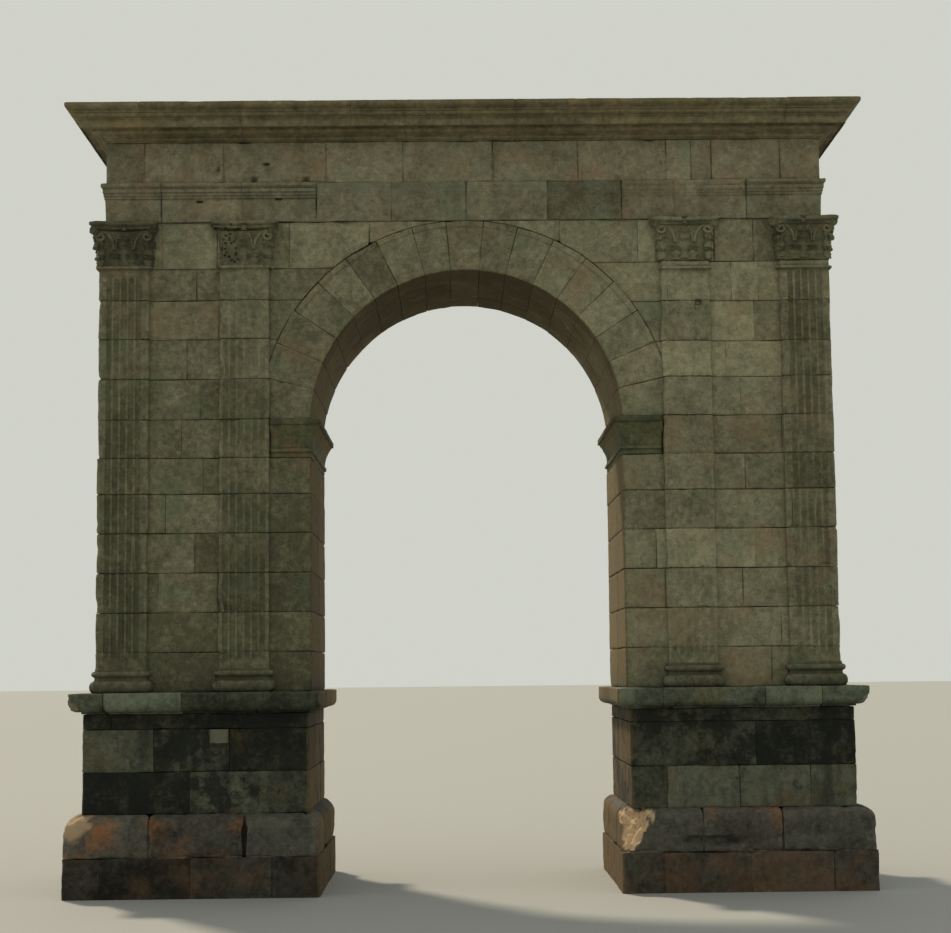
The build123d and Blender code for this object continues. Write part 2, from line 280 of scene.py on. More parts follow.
    levels = points.shape[1]
    index = np.arange(points[..., 0].size).reshape(-1, levels)
    tint = np.repeat(np.array(tones, float)[stone % len(tones)], levels, axis=0)
    from_joint = np.minimum(rows if cut[0] else 1, total - rows if cut[1] else 1)
    for distance, radius in ((before, radius_before), (after, radius_after)):
        from_joint = np.minimum(from_joint, np.where(radius == worn, distance, 1))
    smeared = stained * held(1 - from_joint / 0.022) * (0.45 + packed)
    # The third number of the wear: dark joints, dirt beside the joints, and the painted shade.
    dirt_and_shade = np.maximum(np.where(groove, 0.12 + packed, painted_shade * (0.7 + 0.3 * bite)), hollow)
    dirt_and_shade = held(np.maximum(dirt_and_shade, smeared))
    rubbed = np.maximum(held(inset / 0.012), 0.5 * held(-bay / 0.005))
    wear_and_shade = np.stack((rubbed, 0 * inset, dirt_and_shade), axis=-1).reshape(-1, 3)
    return points.reshape(-1, 3), closed_skin(index.T), tint, wear_and_shade


def stand(name, shells, finish, slot, *nodes):
    """Joins closed shells into one piece in its place, with its tone attribute, an attribute of wear, dirt
    and painted shade, and its material.
    """
    starts = np.cumsum([0] + [len(shell[0]) for shell in shells])
    faces = []
    for start, shell in zip(starts, shells):
        for group in shell[1]:
            faces += (start + group).tolist()
    mesh = bpy.data.meshes.new(name)
    mesh.from_pydata(np.concatenate([shell[0] for shell in shells]).tolist(), [], faces)
    for label, which in (("tone", 2), ("wear_and_shade", 3)):
        values = np.concatenate([shell[which] for shell in shells]).astype(np.float32)
        mesh.attributes.new(label, "FLOAT_VECTOR", "POINT").data.foreach_set("vector", values.ravel())
    mesh.shade_smooth()
    mesh.set_sharp_from_angle(angle=0.7)
    mesh.materials.append(finish)
    piece = bpy.data.objects.new(name, mesh)
    bpy.context.collection.objects.link(piece)
    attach(piece, "root")
    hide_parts(*nodes)

# The stone itself: cloudy buff and brown limestone with shelly pits, one tone for each block. The archway's
# inner faces are dark brown, with patina and painted shade, and a dark crust with painted shade grows over
# the soffit towards the crown and towards the front.


def node(tree, kind, sockets=None, **settings):
    """Adds a shader node with these settings; each named socket gets a value or a link."""
    made = tree.nodes.new(kind)
    for label, value in settings.items():
        setattr(made, label, value)
    for label, value in (sockets or {}).items():
        if isinstance(value, bpy.types.NodeSocket):
            tree.links.new(value, made.inputs[label])
        else:
            made.inputs[label].default_value = value
    return made


def figured(how, first, second=0.0, clamp=False):
    """One sum of two numbers, or of a number alone, in the tree of the one that is a socket."""
    tree = (first if isinstance(first, bpy.types.NodeSocket) else second).id_data
    return node(tree, "ShaderNodeMath", {0: first, 1: second}, operation=how, use_clamp=clamp).outputs[0]


def plus(first, second, clamp=False):
    """Two numbers added."""
    return figured("ADD", first, second, clamp)


def times(first, second, clamp=False):
    """Two numbers multiplied."""
    return figured("MULTIPLY", first, second, clamp)


def about_zero(value, amount):
    """Noise made to swing about zero: (value - 0.5) times the amount."""
    return times(plus(value, -0.5), amount)


def mixed(amount, under, over, how="MIX"):
    """The colour over mixed on to the colour under by this amount."""
    sockets = {0: amount, 6: under, 7: over}
    return node(under.id_data, "ShaderNodeMix", sockets, data_type="RGBA", blend_type=how).outputs[2]


def graded(value, start, end):
    """A number spread from 0 at the start to 1 at the end, held at both, with a smooth step between."""
    sockets = {"Value": value, "From Min": start, "From Max": end}
    return node(value.id_data, "ShaderNodeMapRange", sockets, interpolation_type="SMOOTHSTEP").outputs[0]


def cloudy(place, scale, detail, roughness, seed=0.0, stretch=(1, 1, 1)):
    """Fractal noise about 0.5 on object coordinates, stretched by a mapping."""
    tree = place.id_data
    sockets = {"Vector": place, "Scale": stretch, "Location": (seed, seed, -seed)}
    mapped = node(tree, "ShaderNodeMapping", sockets)
    sockets = {"Vector": mapped.outputs[0], "Scale": scale, "Detail": detail, "Roughness": roughness}
    return node(tree, "ShaderNodeTexNoise", sockets).outputs["Fac"]


def three_parts(tree, name):
    """The three numbers of a mesh attribute."""
    read = node(tree, "ShaderNodeAttribute", attribute_name=name)
    return node(tree, "ShaderNodeSeparateXYZ", {0: read.outputs["Vector"]}).outputs


def new_group(name, colours, numbers, second_result):
    """An empty shader node group with named sockets, which puts out a colour and one number, and its ends."""
    tree = bpy.data.node_groups.new(name, "ShaderNodeTree")
    for label in colours:
        tree.interface.new_socket(label, in_out="INPUT", socket_type="NodeSocketColor")
    for label in numbers:
        tree.interface.new_socket(label, in_out="INPUT", socket_type="NodeSocketFloat")
    tree.interface.new_socket("Color", in_out="OUTPUT", socket_type="NodeSocketColor")
    tree.interface.new_socket(second_result, in_out="OUTPUT", socket_type="NodeSocketFloat")
    return tree, tree.nodes.new("NodeGroupInput").outputs, tree.nodes.new("NodeGroupOutput").inputs


ring_level = 6.922  # the height of the arch's centre
bed, given, result = new_group("limestone", ("Pale", "Deep", "Warm", "Green"), ("Reveal",), "Height")
where = node(bed, "ShaderNodeTexCoord").outputs["Object"]
block_tone, block_warmth = three_parts(bed, "tone")[:2]
clouds = about_zero(cloudy(where, 3.0, 5.0, 0.68), 2.0)
fine = cloudy(where, 12.0, 5.0, 0.72, 3.0)
grain = cloudy(where, 62.0, 3.0, 0.65, 5.0)
blend = plus(plus(clouds, 0.5), about_zero(fine, 1.5))
colour = mixed(plus(blend, times(block_tone, 0.22), clamp=True), given["Deep"], given["Pale"])
for seed, amount, tint in ((21.0, -0.04, "Green"), (9.0, 0.10, "Warm")):
    patch = plus(cloudy(where, 1.9, 4.0, 0.6, seed), times(block_warmth, amount))
    colour = mixed(times(graded(patch, 0.50, 0.74), 0.62), colour, given[tint])
x_place, y_place, z_place = node(bed, "ShaderNodeSeparateXYZ", {0: where}).outputs
above = figured("MAXIMUM", plus(z_place, -ring_level), 0.0)
opening = figured("SQRT", plus(times(x_place, x_place), times(above, above)))
# Brown patina and painted shade on the archway's inner faces, within the reveal's width of the middle.
within_reveal = graded(opening, plus(given["Reveal"], 0.045), plus(given["Reveal"], 0.01))
reveal_brown = plus(times(clouds, 0.30), 0.66, clamp=True)
colour = mixed(times(within_reveal, reveal_brown), colour, (0.140, 0.085, 0.026, 1))
# Dark crust and painted shade over the soffit, deeper towards the crown and towards the front.
crust_and_shade = plus(graded(above, 0.6, 2.2), times(graded(y_place, -0.7, -1.35), 0.45))
crust_and_shade = plus(crust_and_shade, about_zero(cloudy(where, 1.6, 5.0, 0.7, 31.0), 3.0), clamp=True)
crust_and_shade = times(times(within_reveal, graded(above, 0.0, 0.9)), crust_and_shade)
colour = mixed(times(crust_and_shade, 0.88), colour, (0.044, 0.034, 0.004, 1))
cells = node(bed, "ShaderNodeTexVoronoi", {"Vector": where, "Scale": 24.0, "Randomness": 1.0})
pit_size = graded(cloudy(where, 5.0, 2.0, 0.5, 12.0), 0.42, 0.72)
pits = times(graded(cells.outputs["Distance"], 0.30, 0.10), pit_size)
shade = plus(times(block_tone, 0.16), 1.0)
for layer in (about_zero(grain, 0.8), about_zero(fine, 0.9), times(pits, -0.55)):
    shade = plus(shade, layer)
bed.links.new(mixed(1.0, colour, shade, "MULTIPLY"), result["Color"])
bed.links.new(plus(plus(times(fine, 0.75), times(grain, 0.35)), times(pits, -0.7)), result["Height"])

# The weather on it: rain streaks, a dark growth that keeps to damp faces and joints, and rubbed arrises.
# The wear attribute gives how rubbed each point is; how fresh its colour is, from fresh breaks and from a
# painted patch of sunlight on one plinth; and how much dirt and painted shade it has, in the growth's colour.
weather, given, result = new_group(
    "weather", ("Color", "Growth and shade", "Rubbed", "Fresh and sunlit"), ("Streaks", "Spread", "Dirt and shade"), "Damp"
)
where = node(weather, "ShaderNodeTexCoord").outputs["Object"]
arris_wear, fresh_break_and_sunlight, joint_dirt_and_shade = three_parts(weather, "wear_and_shade")
block_grime = three_parts(weather, "tone")["Z"]
streaks = cloudy(where, 3.4, 5.0, 0.6, 2.0, (1.0, 1.0, 0.13))
patches = cloudy(where, 1.7, 6.0, 0.70, 7.0)
spots = cloudy(where, 9.0, 4.0, 0.7, 4.0)
cover = times(graded(streaks, 0.48, 0.72), given["Streaks"])
lift = plus(plus(patches, about_zero(spots, 0.35)), times(block_grime, 0.10))
level = plus(times(given["Spread"], -0.52), 0.86)
cover = plus(cover, graded(lift, level, plus(level, 0.15)), clamp=True)
colour = mixed(times(cover, 0.85), given["Color"], given["Growth and shade"])
rubbed = times(graded(arris_wear, 0.1, 0.8), plus(times(joint_dirt_and_shade, -1.0), 0.3), clamp=True)
colour = mixed(times(rubbed, graded(spots, 0.4, 0.6)), colour, given["Rubbed"])
colour = mixed(fresh_break_and_sunlight, colour, given["Fresh and sunlit"])
# Dirt in the joints and painted shade in hollows and under ledges, mixed towards the growth's colour.
packing = plus(times(graded(cloudy(where, 2.3, 3.0, 0.6, 17.0), 0.4, 0.6), 0.7), 0.3)
colour = mixed(times(times(joint_dirt_and_shade, given["Dirt and shade"]), packing), colour, given["Growth and shade"])
weather.links.new(colour, result["Color"])
weather.links.new(cover, result["Damp"])


def stone_finish(
    name, pale, deep, warm, green, growth_and_shade, rubbed, streaks, spread, fresh=(0.60, 0.42, 0.25), reveal=2.33
):
    """Weathered stone: the limestone group, then the weather group over it, rough, with a grainy bump."""
    made = bpy.data.materials.new(name)
    made.use_nodes = True
    tree = made.node_tree
    shader = tree.nodes["Principled BSDF"]
    sockets = {
        "Pale": (*pale, 1), "Deep": (*deep, 1), "Warm": (*warm, 1), "Green": (*green, 1), "Reveal": reveal
    }
    body = node(tree, "ShaderNodeGroup", sockets, node_tree=bed)
    sockets = {
        "Color": body.outputs["Color"], "Growth and shade": (*growth_and_shade, 1), "Rubbed": (*rubbed, 1), "Fresh and sunlit": (*fresh, 1),
        "Streaks": streaks, "Spread": spread, "Dirt and shade": 0.85,
    }
    skin = node(tree, "ShaderNodeGroup", sockets, node_tree=weather)
    tree.links.new(skin.outputs["Color"], shader.inputs["Base Color"])
    tree.links.new(plus(times(skin.outputs["Damp"], -0.12), 0.93), shader.inputs["Roughness"])
    sockets = {"Height": body.outputs["Height"], "Distance": 0.006, "Strength": 1.0}
    raised = node(tree, "ShaderNodeBump", sockets)
    tree.links.new(raised.outputs["Normal"], shader.inputs["Normal"])
    shader.inputs["Specular IOR Level"].default_value = 0.25
    return made


footing_finish = stone_finish(
    "footing_stone", pale=(0.080, 0.072, 0.055), deep=(0.020, 0.018, 0.013), warm=(0.115, 0.066, 0.034),
    green=(0.050, 0.052, 0.036), growth_and_shade=(0.018, 0.018, 0.012), rubbed=(0.15, 0.125, 0.09), streaks=0.25,
    spread=0.42, reveal=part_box("footing_right")[0].x,
)
footing_joints = {"left": (-5.37, -4.06, -2.88), "right": (2.80, 4.06, 5.27)}
footing_tone = {"left": (-0.9, -0.3, 0.1), "right": (0.5, 1.4, -0.2)}
for side, way in PIERS:
    low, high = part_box(f"footing_{side}")
    tall = high.z - low.z
    shell = course(
        low, high, ((0, 0), (0, tall), (-0.06, tall)),
        joints=(footing_joints[side], (-0.9, 0.5), footing_joints[side][1:], (-0.4, 0.8)),
        arris=0.05, worn=0.035, eroded=0.016, pitted=0.02, cut=(False, True), seed=30 + len(side),
        tones=chance.normal(footing_tone[side], 0.45, (12, 3)),
    )
    stand(f"footing_course_{side}", [shell], footing_finish, "plinth_stone", f"footing_{side}")

# Plinths: the course above, of thick blocks whose upper edge has weathered to a broad round. It stands out
# into the passage. The right one has lost its corner there, which shows the fresh stone, the outer end of
# the left one has a painted patch of sunlight, and one joint and one bed are washed out.
plinth_finish = stone_finish(
    "plinth_stone", pale=(0.101, 0.095, 0.076), deep=(0.034, 0.030, 0.023), warm=(0.29, 0.115, 0.034),
    green=(0.085, 0.088, 0.068), growth_and_shade=(0.020, 0.020, 0.014), rubbed=(0.24, 0.21, 0.16), streaks=0.25,
    spread=0.36, fresh=(0.56, 0.39, 0.23), reveal=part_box("plinth_right")[0].x,
)
plinth_joints = {"left": (-4.68, -3.28), "right": (3.38, 4.54)}
round_size = {"left": (0.21, 0.24), "right": (0.16, 0.18)}  # the round: how deep and how high
plinth_tones = {
    "left": ((0.8, 0.1, -0.8), (-0.4, 0.2, 0.1), (0.6, -2.4, -0.4)),
    "right": ((0.4, -1.8, -0.2), (0.3, 0.9, 0.0), (0.4, -0.8, 0.0)),
}
washed_out = ((3.48, 0.735, 0.36, 0.045), (-3.28, 0.78, 0.012, 0.28))


def quarter_round(reach, height, depth, rise):
    """A quarter of an ellipse that turns from an upright face in to a ledge: seven points, from 0 to 90
    degrees, at the cosine of the angle out and its sine up."""
    angle = np.linspace(0, pi / 2, 7)
    return np.stack((reach - depth * (1 - np.cos(angle)), height - rise * (1 - np.sin(angle))), axis=-1)


def broken(shell, through, facing, rough, seed):
    """A broken corner: points past a plane fall back to it, with noise for the fracture, and are marked as
    fresh."""
    points, faces, tint, wear_and_shade = shell
    facing = np.array(facing, float) / np.linalg.norm(facing)
    craggy = noise(points, 0.16, seed) + 0.7 * np.abs(noise(points, 0.07, seed + 1))
    past = (points - through) @ facing + rough * (craggy + 0.35 * noise(points, 0.03, seed + 2))
    points = points - np.clip(past, 0, None)[:, None] * facing
    fresh = held(past / 0.02)
    rubbed, dirt_and_shade = wear_and_shade[:, 0] * (1 - fresh), wear_and_shade[:, 2] * (1 - fresh)
    return points, faces, tint, np.stack((rubbed, np.maximum(wear_and_shade[:, 1], fresh), dirt_and_shade), axis=-1)


def painted_sunlit_patch(shell, middle, size, seed):
    """A painted patch of sunlight, in the fresh colour: the mark is strongest near the middle of an ellipsoid
    of this size and fades out at its edge, which noise makes ragged."""
    points, wear_and_shade = shell[0], shell[3]
    near = 1.2 - np.linalg.norm((points - middle) / np.array(size), axis=-1) + 0.5 * noise(points, 0.09, seed)
    wear_and_shade[:, 1] = np.maximum(wear_and_shade[:, 1], np.clip(2.5 * near, 0, 0.55))


def slotted(places, deep):
    """Holes in the front face with soft sides, each given by its middle and half its width and height: full
    depth inside, none beyond one and a half times the half size."""
    def carve(side, base):
        """The holes as relief on the front."""
        hole = 0
        for x, z, half_width, half_height in places:
            inside = held(1.5 - np.abs(base[..., 0] - x) / half_width)
            inside = inside * held(1.5 - np.abs(base[..., 2] - z) / half_height)
            hole = np.maximum(hole, held(2 * inside))
        return np.where(side == 0, -deep * hole, 0)

    return carve


for side, way in PIERS:
    low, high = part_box(f"plinth_{side}")
    tall = high.z - low.z
    profile = np.concatenate((((0, 0),), quarter_round(0, tall, *round_size[side]), ((-0.45, tall),)))
    shell = course(
        low, high, profile, joints=(plinth_joints[side], (-0.6, 0.7), plinth_joints[side], (-0.8, 0.6)),
        zones=(0.6, 0.6), arris=0.16, worn=0.06, chips=0.2, eroded=0.022, pitted=0.02, cut=(True, False),
        tones=np.concatenate((plinth_tones[side], chance.normal(0, 0.5, (4, 3)))), seed=41 + way,
        gaping=1.5, rise=0.05, relief=slotted(washed_out, 0.07),
    )
    if side == "right":
        shell = broken(shell, (low.x + 0.20, low.y + 0.17, high.z - 0.20), (-0.62, -0.60, 0.42), 0.07, 3)
        shell = broken(shell, (low.x + 0.05, low.y + 0.7, high.z - 0.05), (-0.85, -0.1, 0.5), 0.05, 5)
    else:
        # A painted patch of sunlight on the top of the left plinth's outer end, in the fresh colour.
        painted_sunlit_patch(shell, (low.x, low.y + 0.10, high.z), (0.34, 0.5, 0.30), 9)
    stand(f"plinth_course_{side}", [shell], plinth_finish, "plinth_stone", f"plinth_{side}")

# Dados: two full courses of squared blocks and a thin one under the cap, with flat dressed faces, dry
# jointed, and half covered with a black crust where the rain doesn't wash them. A small pale block is let
# into the left one.
dado_finish = stone_finish(
    "dado_stone", pale=(0.100, 0.105, 0.073), deep=(0.022, 0.024, 0.016), warm=(0.100, 0.076, 0.036),
    green=(0.046, 0.054, 0.032), growth_and_shade=(0.006, 0.008, 0.005), rubbed=(0.14, 0.14, 0.10), streaks=0.75,
    spread=0.72, reveal=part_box("dado_right")[0].x,
)
dado_levels = {"left": (1.81, 2.43), "right": (1.815, 2.46)}
dado_joints = {
    "left": ((-5.12, -4.09, -2.95), (-4.63, -3.52), (-5.25, -4.15, -3.30)),
    "right": ((2.89, 3.95, 4.99), (3.45, 4.20, 5.00), (2.75, 4.00, 4.90)),
}
dado_tones = {
    "left": (
        ((-2.3, 0, 0.8), (-1.6, 0, 0.9), (0.8, 0, 0.2), (-0.3, 0, -1.0)),
        ((0.9, 0, -1.2), (-0.5, 0.2, 1.0), (-2.1, 0, -0.4)),
        ((-1.5, 0.6, 0.4), (-1.3, 1.0, 0.5), (-1.7, 0, 0.6), (-1.7, 0, 0.6)),
    ),
    "right": (
        ((-0.3, 0, 0.2), (1.7, 0, -0.9), (1.6, 0.3, -0.6), (1.2, 0, -1.2)),
        ((-0.4, 0, 0.2), (-0.3, 0, 0.3), (-1.4, 0, 0.95), (-1.2, 0, 0.8)),
        ((-0.5, 0, 0.2), (-0.3, 0.4, 0), (-0.6, 0, 0.4), (-0.6, 0, 0.4)),
    ),
}


def bond(first, last, length, seed):
    """Upright joints between two places, about one block apart, each moved at random."""
    count = max(1, round((last - first) / length))
    moved = np.random.default_rng(seed).uniform(-0.25, 0.25, count - 1)
    return tuple(first + (last - first) * (np.arange(1, count) + moved) / count)


for side, way in PIERS:
    low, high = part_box(f"dado_{side}")
    levels = (low.z, *dado_levels[side], high.z)
    shells = []
    for number, (bottom, top) in enumerate(zip(levels, levels[1:])):
        seed = 60 + 10 * way + number
        ends, back = bond(low.y, high.y, 1.15, seed), bond(low.x, high.x, 1.1, seed + 5)
        tones = np.concatenate((dado_tones[side][number], chance.normal(0, 0.6, (8, 3))))
        shells.append(course(
            (low.x, low.y, bottom), (high.x, high.y, top), arris=0.04, eroded=0.008, pitted=0.015,
            joints=(dado_joints[side][number], ends, back, ends), tones=tones, seed=seed,
        ))
    if side == "left":
        shells.append(course(
            (-3.81, low.y - 0.015, 2.215), (-3.53, low.y + 0.05, 2.424), arris=0.01, worn=0.01, chips=0.02,
            eroded=0.003, tones=((2.6, 0.8, -4.0),), seed=77,
        ))
    stand(f"dado_blocks_{side}", shells, dado_finish, "pedestal_stone", f"dado_{side}")

# Pedestal caps: slabs with a rounded lower edge, laid across the dado so that they stand out all round. The
# outer front corners broke off long ago, and the breaks have weathered.
cap_finish = stone_finish(
    "cap_stone", pale=(0.125, 0.144, 0.098), deep=(0.036, 0.040, 0.026), warm=(0.12, 0.10, 0.045),
    green=(0.078, 0.096, 0.060), growth_and_shade=(0.012, 0.014, 0.009), rubbed=(0.22, 0.21, 0.16), streaks=0.45,
    spread=0.55, fresh=(0.75, 0.62, 0.42), reveal=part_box("pedestal_cap_right")[0].x,
)
cap_joints = {"left": (-5.29, -4.20, -3.11), "right": (2.55, 2.84, 4.33, 5.16)}
cap_tones = {
    "left": ((0.3, 0.4, 0.3), (1.6, -0.8, -0.6), (-1.5, 0, 0.6), (-1.4, 0, 0.7)),
    "right": ((1.8, 0, -1.2), (0.1, 0, 0.1), (0.4, 0, 0), (1.8, -0.6, -0.8), (0.3, 0, 0.2)),
}
cap_reach, cap_foot, cap_round, cap_nosing = 0.20, 0.03, 0.10, 0.012


def rounded(profile, size):
    """A profile with each inner corner cut off by this much along both of its edges."""
    points = np.array(profile, float)
    corner = points[1:-1]
    cuts = []
    for beside in (points[:-2], points[2:]):
        length = np.linalg.norm(beside - corner, axis=1, keepdims=True)
        cuts.append(corner + (beside - corner) / length * np.minimum(size, length * 0.4))
    return np.concatenate((points[:1], np.stack(cuts, axis=1).reshape(-1, 2), points[-1:]))


for side, way in PIERS:
    low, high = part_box(f"pedestal_cap_{side}")
    tall = high.z - low.z
    under = quarter_round(cap_reach, 0, cap_round, cap_round)[::-1] * (1, -1) + (0, cap_foot)
    slab = rounded(((cap_reach, cap_foot + cap_round), (cap_reach, tall), (-0.40, tall)), cap_nosing)[1:]
    shell = course(
        (low.x + cap_reach, low.y + cap_reach, low.z), (high.x - cap_reach, high.y - cap_reach, high.z),
        np.concatenate((((0, 0), (0.025, 0.0), (0.025, cap_foot)), under, slab)),
        joints=(cap_joints[side], (-0.75, 0.5), cap_joints[side], (-0.4, 0.9)), zones=(0.5, 0.5), arris=0.05,
        worn=0.02, chips=0.2, eroded=0.010, pitted=0.012, cut=(False, False), tones=cap_tones[side],
        seed=80 + way,
    )
    outer = low.x if way < 0 else high.x
    shell = broken(shell, (outer - way * 0.05, low.y + 0.12, low.z + 0.1), (way * 0.8, -0.25, -0.7), 0.05, 7)
    shell[3][:, 1] *= 0.2
    stand(f"cap_slabs_{side}", [shell], cap_finish, "pedestal_stone", f"pedestal_cap_{side}")

# Pilaster bases: large torus, hollow, small torus and fillet, cut on the lowest block of each pilaster and
# rubbed smooth. One stands beside the archway and one wraps the corner, on each face of each pier.
wall_finish = stone_finish(
    "wall_stone", pale=(0.267, 0.256, 0.159), deep=(0.133, 0.127, 0.074), warm=(0.228, 0.170, 0.098),
    green=(0.155, 0.180, 0.108), growth_and_shade=(0.045, 0.044, 0.026), rubbed=(0.30, 0.28, 0.19), streaks=0.15,
    spread=0.16,
)
torus, hollow_top, upper_torus, base_top = 0.175, 0.235, 0.32, 0.36
angle = np.linspace(-pi / 2, pi / 2, 9)
lower_roll = np.stack((0.03 + 0.055 * np.cos(angle), torus / 2 * (1 + np.sin(angle))), axis=-1)
upper_middle = (hollow_top + upper_torus) / 2
upper_roll = np.stack((0.03 + 0.03 * np.cos(angle), upper_middle + 0.0425 * np.sin(angle)), axis=-1)
hollow = ((0.018, torus + 0.015), (0.014, torus + 0.03), (0.018, hollow_top - 0.012))
fillet = ((0.014, upper_torus + 0.004), (0.012, base_top), (-0.02, base_top + 0.002))
base_profile = np.concatenate((((0.0, 0.0),), lower_roll, hollow, upper_roll, fillet))
wall_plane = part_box("pier_left")[1].y


def pilasters():
    """The eight pilasters in turn: its name, kind and side, the way out from the archway, the way that its
    face looks, and the shaft's own box, let 50 mm into the wall where it is shallow."""
    for side, way in PIERS:
        for face, turned in (("front", -1), ("back", 1)):
            for kind in ("corner", "inner"):
                low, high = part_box(f"shaft_{kind}_{face}_{side}")
                if kind == "inner" and turned < 0:
                    high.y = 0.05 - wall_plane
                elif kind == "inner":
                    low.y = wall_plane - 0.05
                yield f"{kind}_{face}_{side}", kind, side, way, turned, low, high


for name, kind, side, way, turned, low, high in pilasters():
    low.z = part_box(f"base_{name}")[0].z
    shell = course(
        low, high, base_profile, rise=0.03, steps=(0.035,) * 4, arris=0.05, chips=0.16, eroded=0.010,
        cut=(False, False), tones=((-2.2, -1.6, 0.9),), zones=(0.12, 0.12),
        seed=100 + 10 * (way > 0) + 5 * (turned > 0) + (kind == "inner"),
    )
    stand(f"base_stone_{name}", [shell], wall_finish, "carved_stone", f"base_{name}")

# Pier walls: eleven courses of squared blocks up to the capitals and one beside them, dry jointed, each
# course running through the pier and its pilasters. The joints on the front are the arch's own.
bed_joints = {
    "left": (2.955, 3.549, 4.136, 4.722, 5.314, 5.899, 6.441, 7.022, 7.632, 8.240, 8.835, 9.322, 10.036),
    "right": (2.955, 3.549, 4.136, 4.722, 5.314, 5.899, 6.441, 7.022, 7.607, 8.152, 8.768, 9.376, 10.036),
}
front_joints = {
    "left": (
        (-4.56,), (-5.12, -4.33), (-4.61, -3.72), (-4.97, -4.07), (-4.51, -3.67), (-3.95,), (-4.28,),
        (-4.00,), (-4.20,), (-3.72,), (-4.06,), (-4.59, -3.75, -2.66),
    ),
    "right": (
        (3.40, 4.50), (3.62, 4.66), (2.95, 4.10), (2.82, 4.30), (3.67, 4.86), (4.18,), (4.75,),
        (4.14,), (3.93, 4.87), (3.48, 4.37), (3.06, 4.04, 4.45), (2.63, 3.79, 4.39),
    ),
}
block_tones = {}
for side, way in PIERS:
    for number, joints in enumerate(front_joints[side]):
        light, warmth = (-1.3 + 0.14 * number, -0.9) if way < 0 else (0.4 + 0.05 * number, 0.2)
        tones = chance.normal((light, warmth, 0), (0.30, 0.4, 0.5), (len(joints) + 8, 3))
        corner, beside_arch = (0, len(joints)) if way < 0 else (len(joints), 0)
        tones[corner, 0] -= 0.5
        tones[beside_arch, 0] -= 1.0 if way < 0 else 0.9
        block_tones[side, number] = tones
block_tones["left", 11][1:4] = ((0.0, -1.0, -1.5), (-0.7, -0.4, 0.8), (0.4, 0.4, -1.0))
block_tones["left", 10][0] = (-1.0, 0.8, 0.4)
block_tones["left", 9][:2, 1] = (0.6, -0.6)
block_tones["right", 11][:4] = ((0.1, -0.2, 0.4), (0.8, 0.3, -1.0), (-0.2, 0.4, 0.5), (-0.7, -0.3, 0.9))
block_tones["right", 10][0] = (0.7, 0.3, -0.8)
reveal, wall_end = [corner.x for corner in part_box("pier_right")]
impost_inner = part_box("impost_right")[1].x
for side, way in PIERS:
    shells = []
    levels = bed_joints[side]
    for number, (bottom, top) in enumerate(zip(levels[:7], levels[1:8])):
        near, far = sorted((way * (reveal if number < 6 else impost_inner), way * wall_end))
        seed = 140 + 20 * way + number
        ends = bond(-wall_plane, wall_plane, 1.2 + 0.4 * (number % 2), seed)
        back = bond(near, far, 1.15 + 0.35 * (number % 2), seed + 7)
        shells.append(course(
            (near, -wall_plane, bottom), (far, wall_plane, top), arris=0.03, worn=0.02,
            joints=(front_joints[side][number], ends, back, ends),
            # The lowest course is darker towards its bottom.
            soot_and_shade=((0, 0.35), (0.5 * (number == 0), 0)), tones=block_tones[side, number], seed=seed,
        ))
    stand(f"pier_courses_{side}", shells, wall_finish, "wall_stone", f"pier_{side}")

# Imposts: one full course at the springing, with a low fillet, a long hollow and a slab. It turns from the
# reveal on to both faces, where it stops against the pilaster; the hollow is green with damp.
impost_finish = stone_finish(
    "impost_stone", pale=(0.148, 0.150, 0.079), deep=(0.068, 0.068, 0.034), warm=(0.19, 0.115, 0.05),
    green=(0.072, 0.092, 0.038), growth_and_shade=(0.030, 0.042, 0.026), rubbed=(0.22, 0.21, 0.13), streaks=0.40,
    spread=0.42, reveal=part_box("impost_right")[0].x + 0.06,
)
impost_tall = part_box("impost_left")[1].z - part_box("impost_left")[0].z
slab_foot = impost_tall - 0.10
sweep = np.linspace(0, 1, 9)
throat = np.stack((0.116 * sweep**2.1, 0.13 + (slab_foot - 0.13) * sweep), axis=-1)
fillet = ((0, 0), (0, 0.075), (0.03, 0.08), (0.03, 0.125))
slab = ((0.14, slab_foot), (0.14, impost_tall - 0.02), (0.09, impost_tall), (-0.08, impost_tall))
impost_profile = rounded(np.concatenate((fillet, throat, slab)), 0.006)
for side, way in PIERS:
    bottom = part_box(f"impost_{side}")[0].z
    near, far = sorted((way * reveal, way * impost_inner))
    shell = course(
        (near, -wall_plane, bottom), (far, wall_plane, bottom + impost_tall), impost_profile,
        joints=((), (-0.35,), (), (-0.35,)), push=(1, way < 0, 1, way > 0), rise=0.03, zones=(0.25, 0.25),
        arris=0.06, chips=0.22, eroded=0.010, pitted=0.012, cut=(True, False), underside_shade=0.12,
        # Painted shade and soot: dark on the slab and in a line just under it.
        soot_and_shade=((slab_foot - 0.03, slab_foot, slab_foot + 0.03, impost_tall), (0, 1.0, 0.8, 0.7)),
        tones=((-0.2, 0, 0.7), (0.1, 0.3, 0.2)), seed=170 + way,
    )
    stand(f"impost_course_{side}", [shell], impost_finish, "carved_stone", f"impost_{side}")

# Arch ring: seventeen wedge stones through the depth of the arch, laid dry, with a flat rim cut along the
# back of the ring on both faces. The stones next to the springing are cut level with the impost.
ring_inner, ring_outer = 2.347, 3.122
ring_middle = (ring_inner + ring_outer) / 2
stone_angles = {
    "left": (95.3, 105.0, 115.7, 125.5, 135.7, 146.0, 156.2, 166.5, 178.16),
    "right": (1.84, 13.0, 23.3, 33.4, 43.7, 53.9, 64.3, 75.0, 84.7),
    "key": (84.7, 95.3),
}
rim_width, rim_relief = 0.105, 0.014
springing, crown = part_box("voussoirs_left")[0].z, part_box("architrave")[0].z


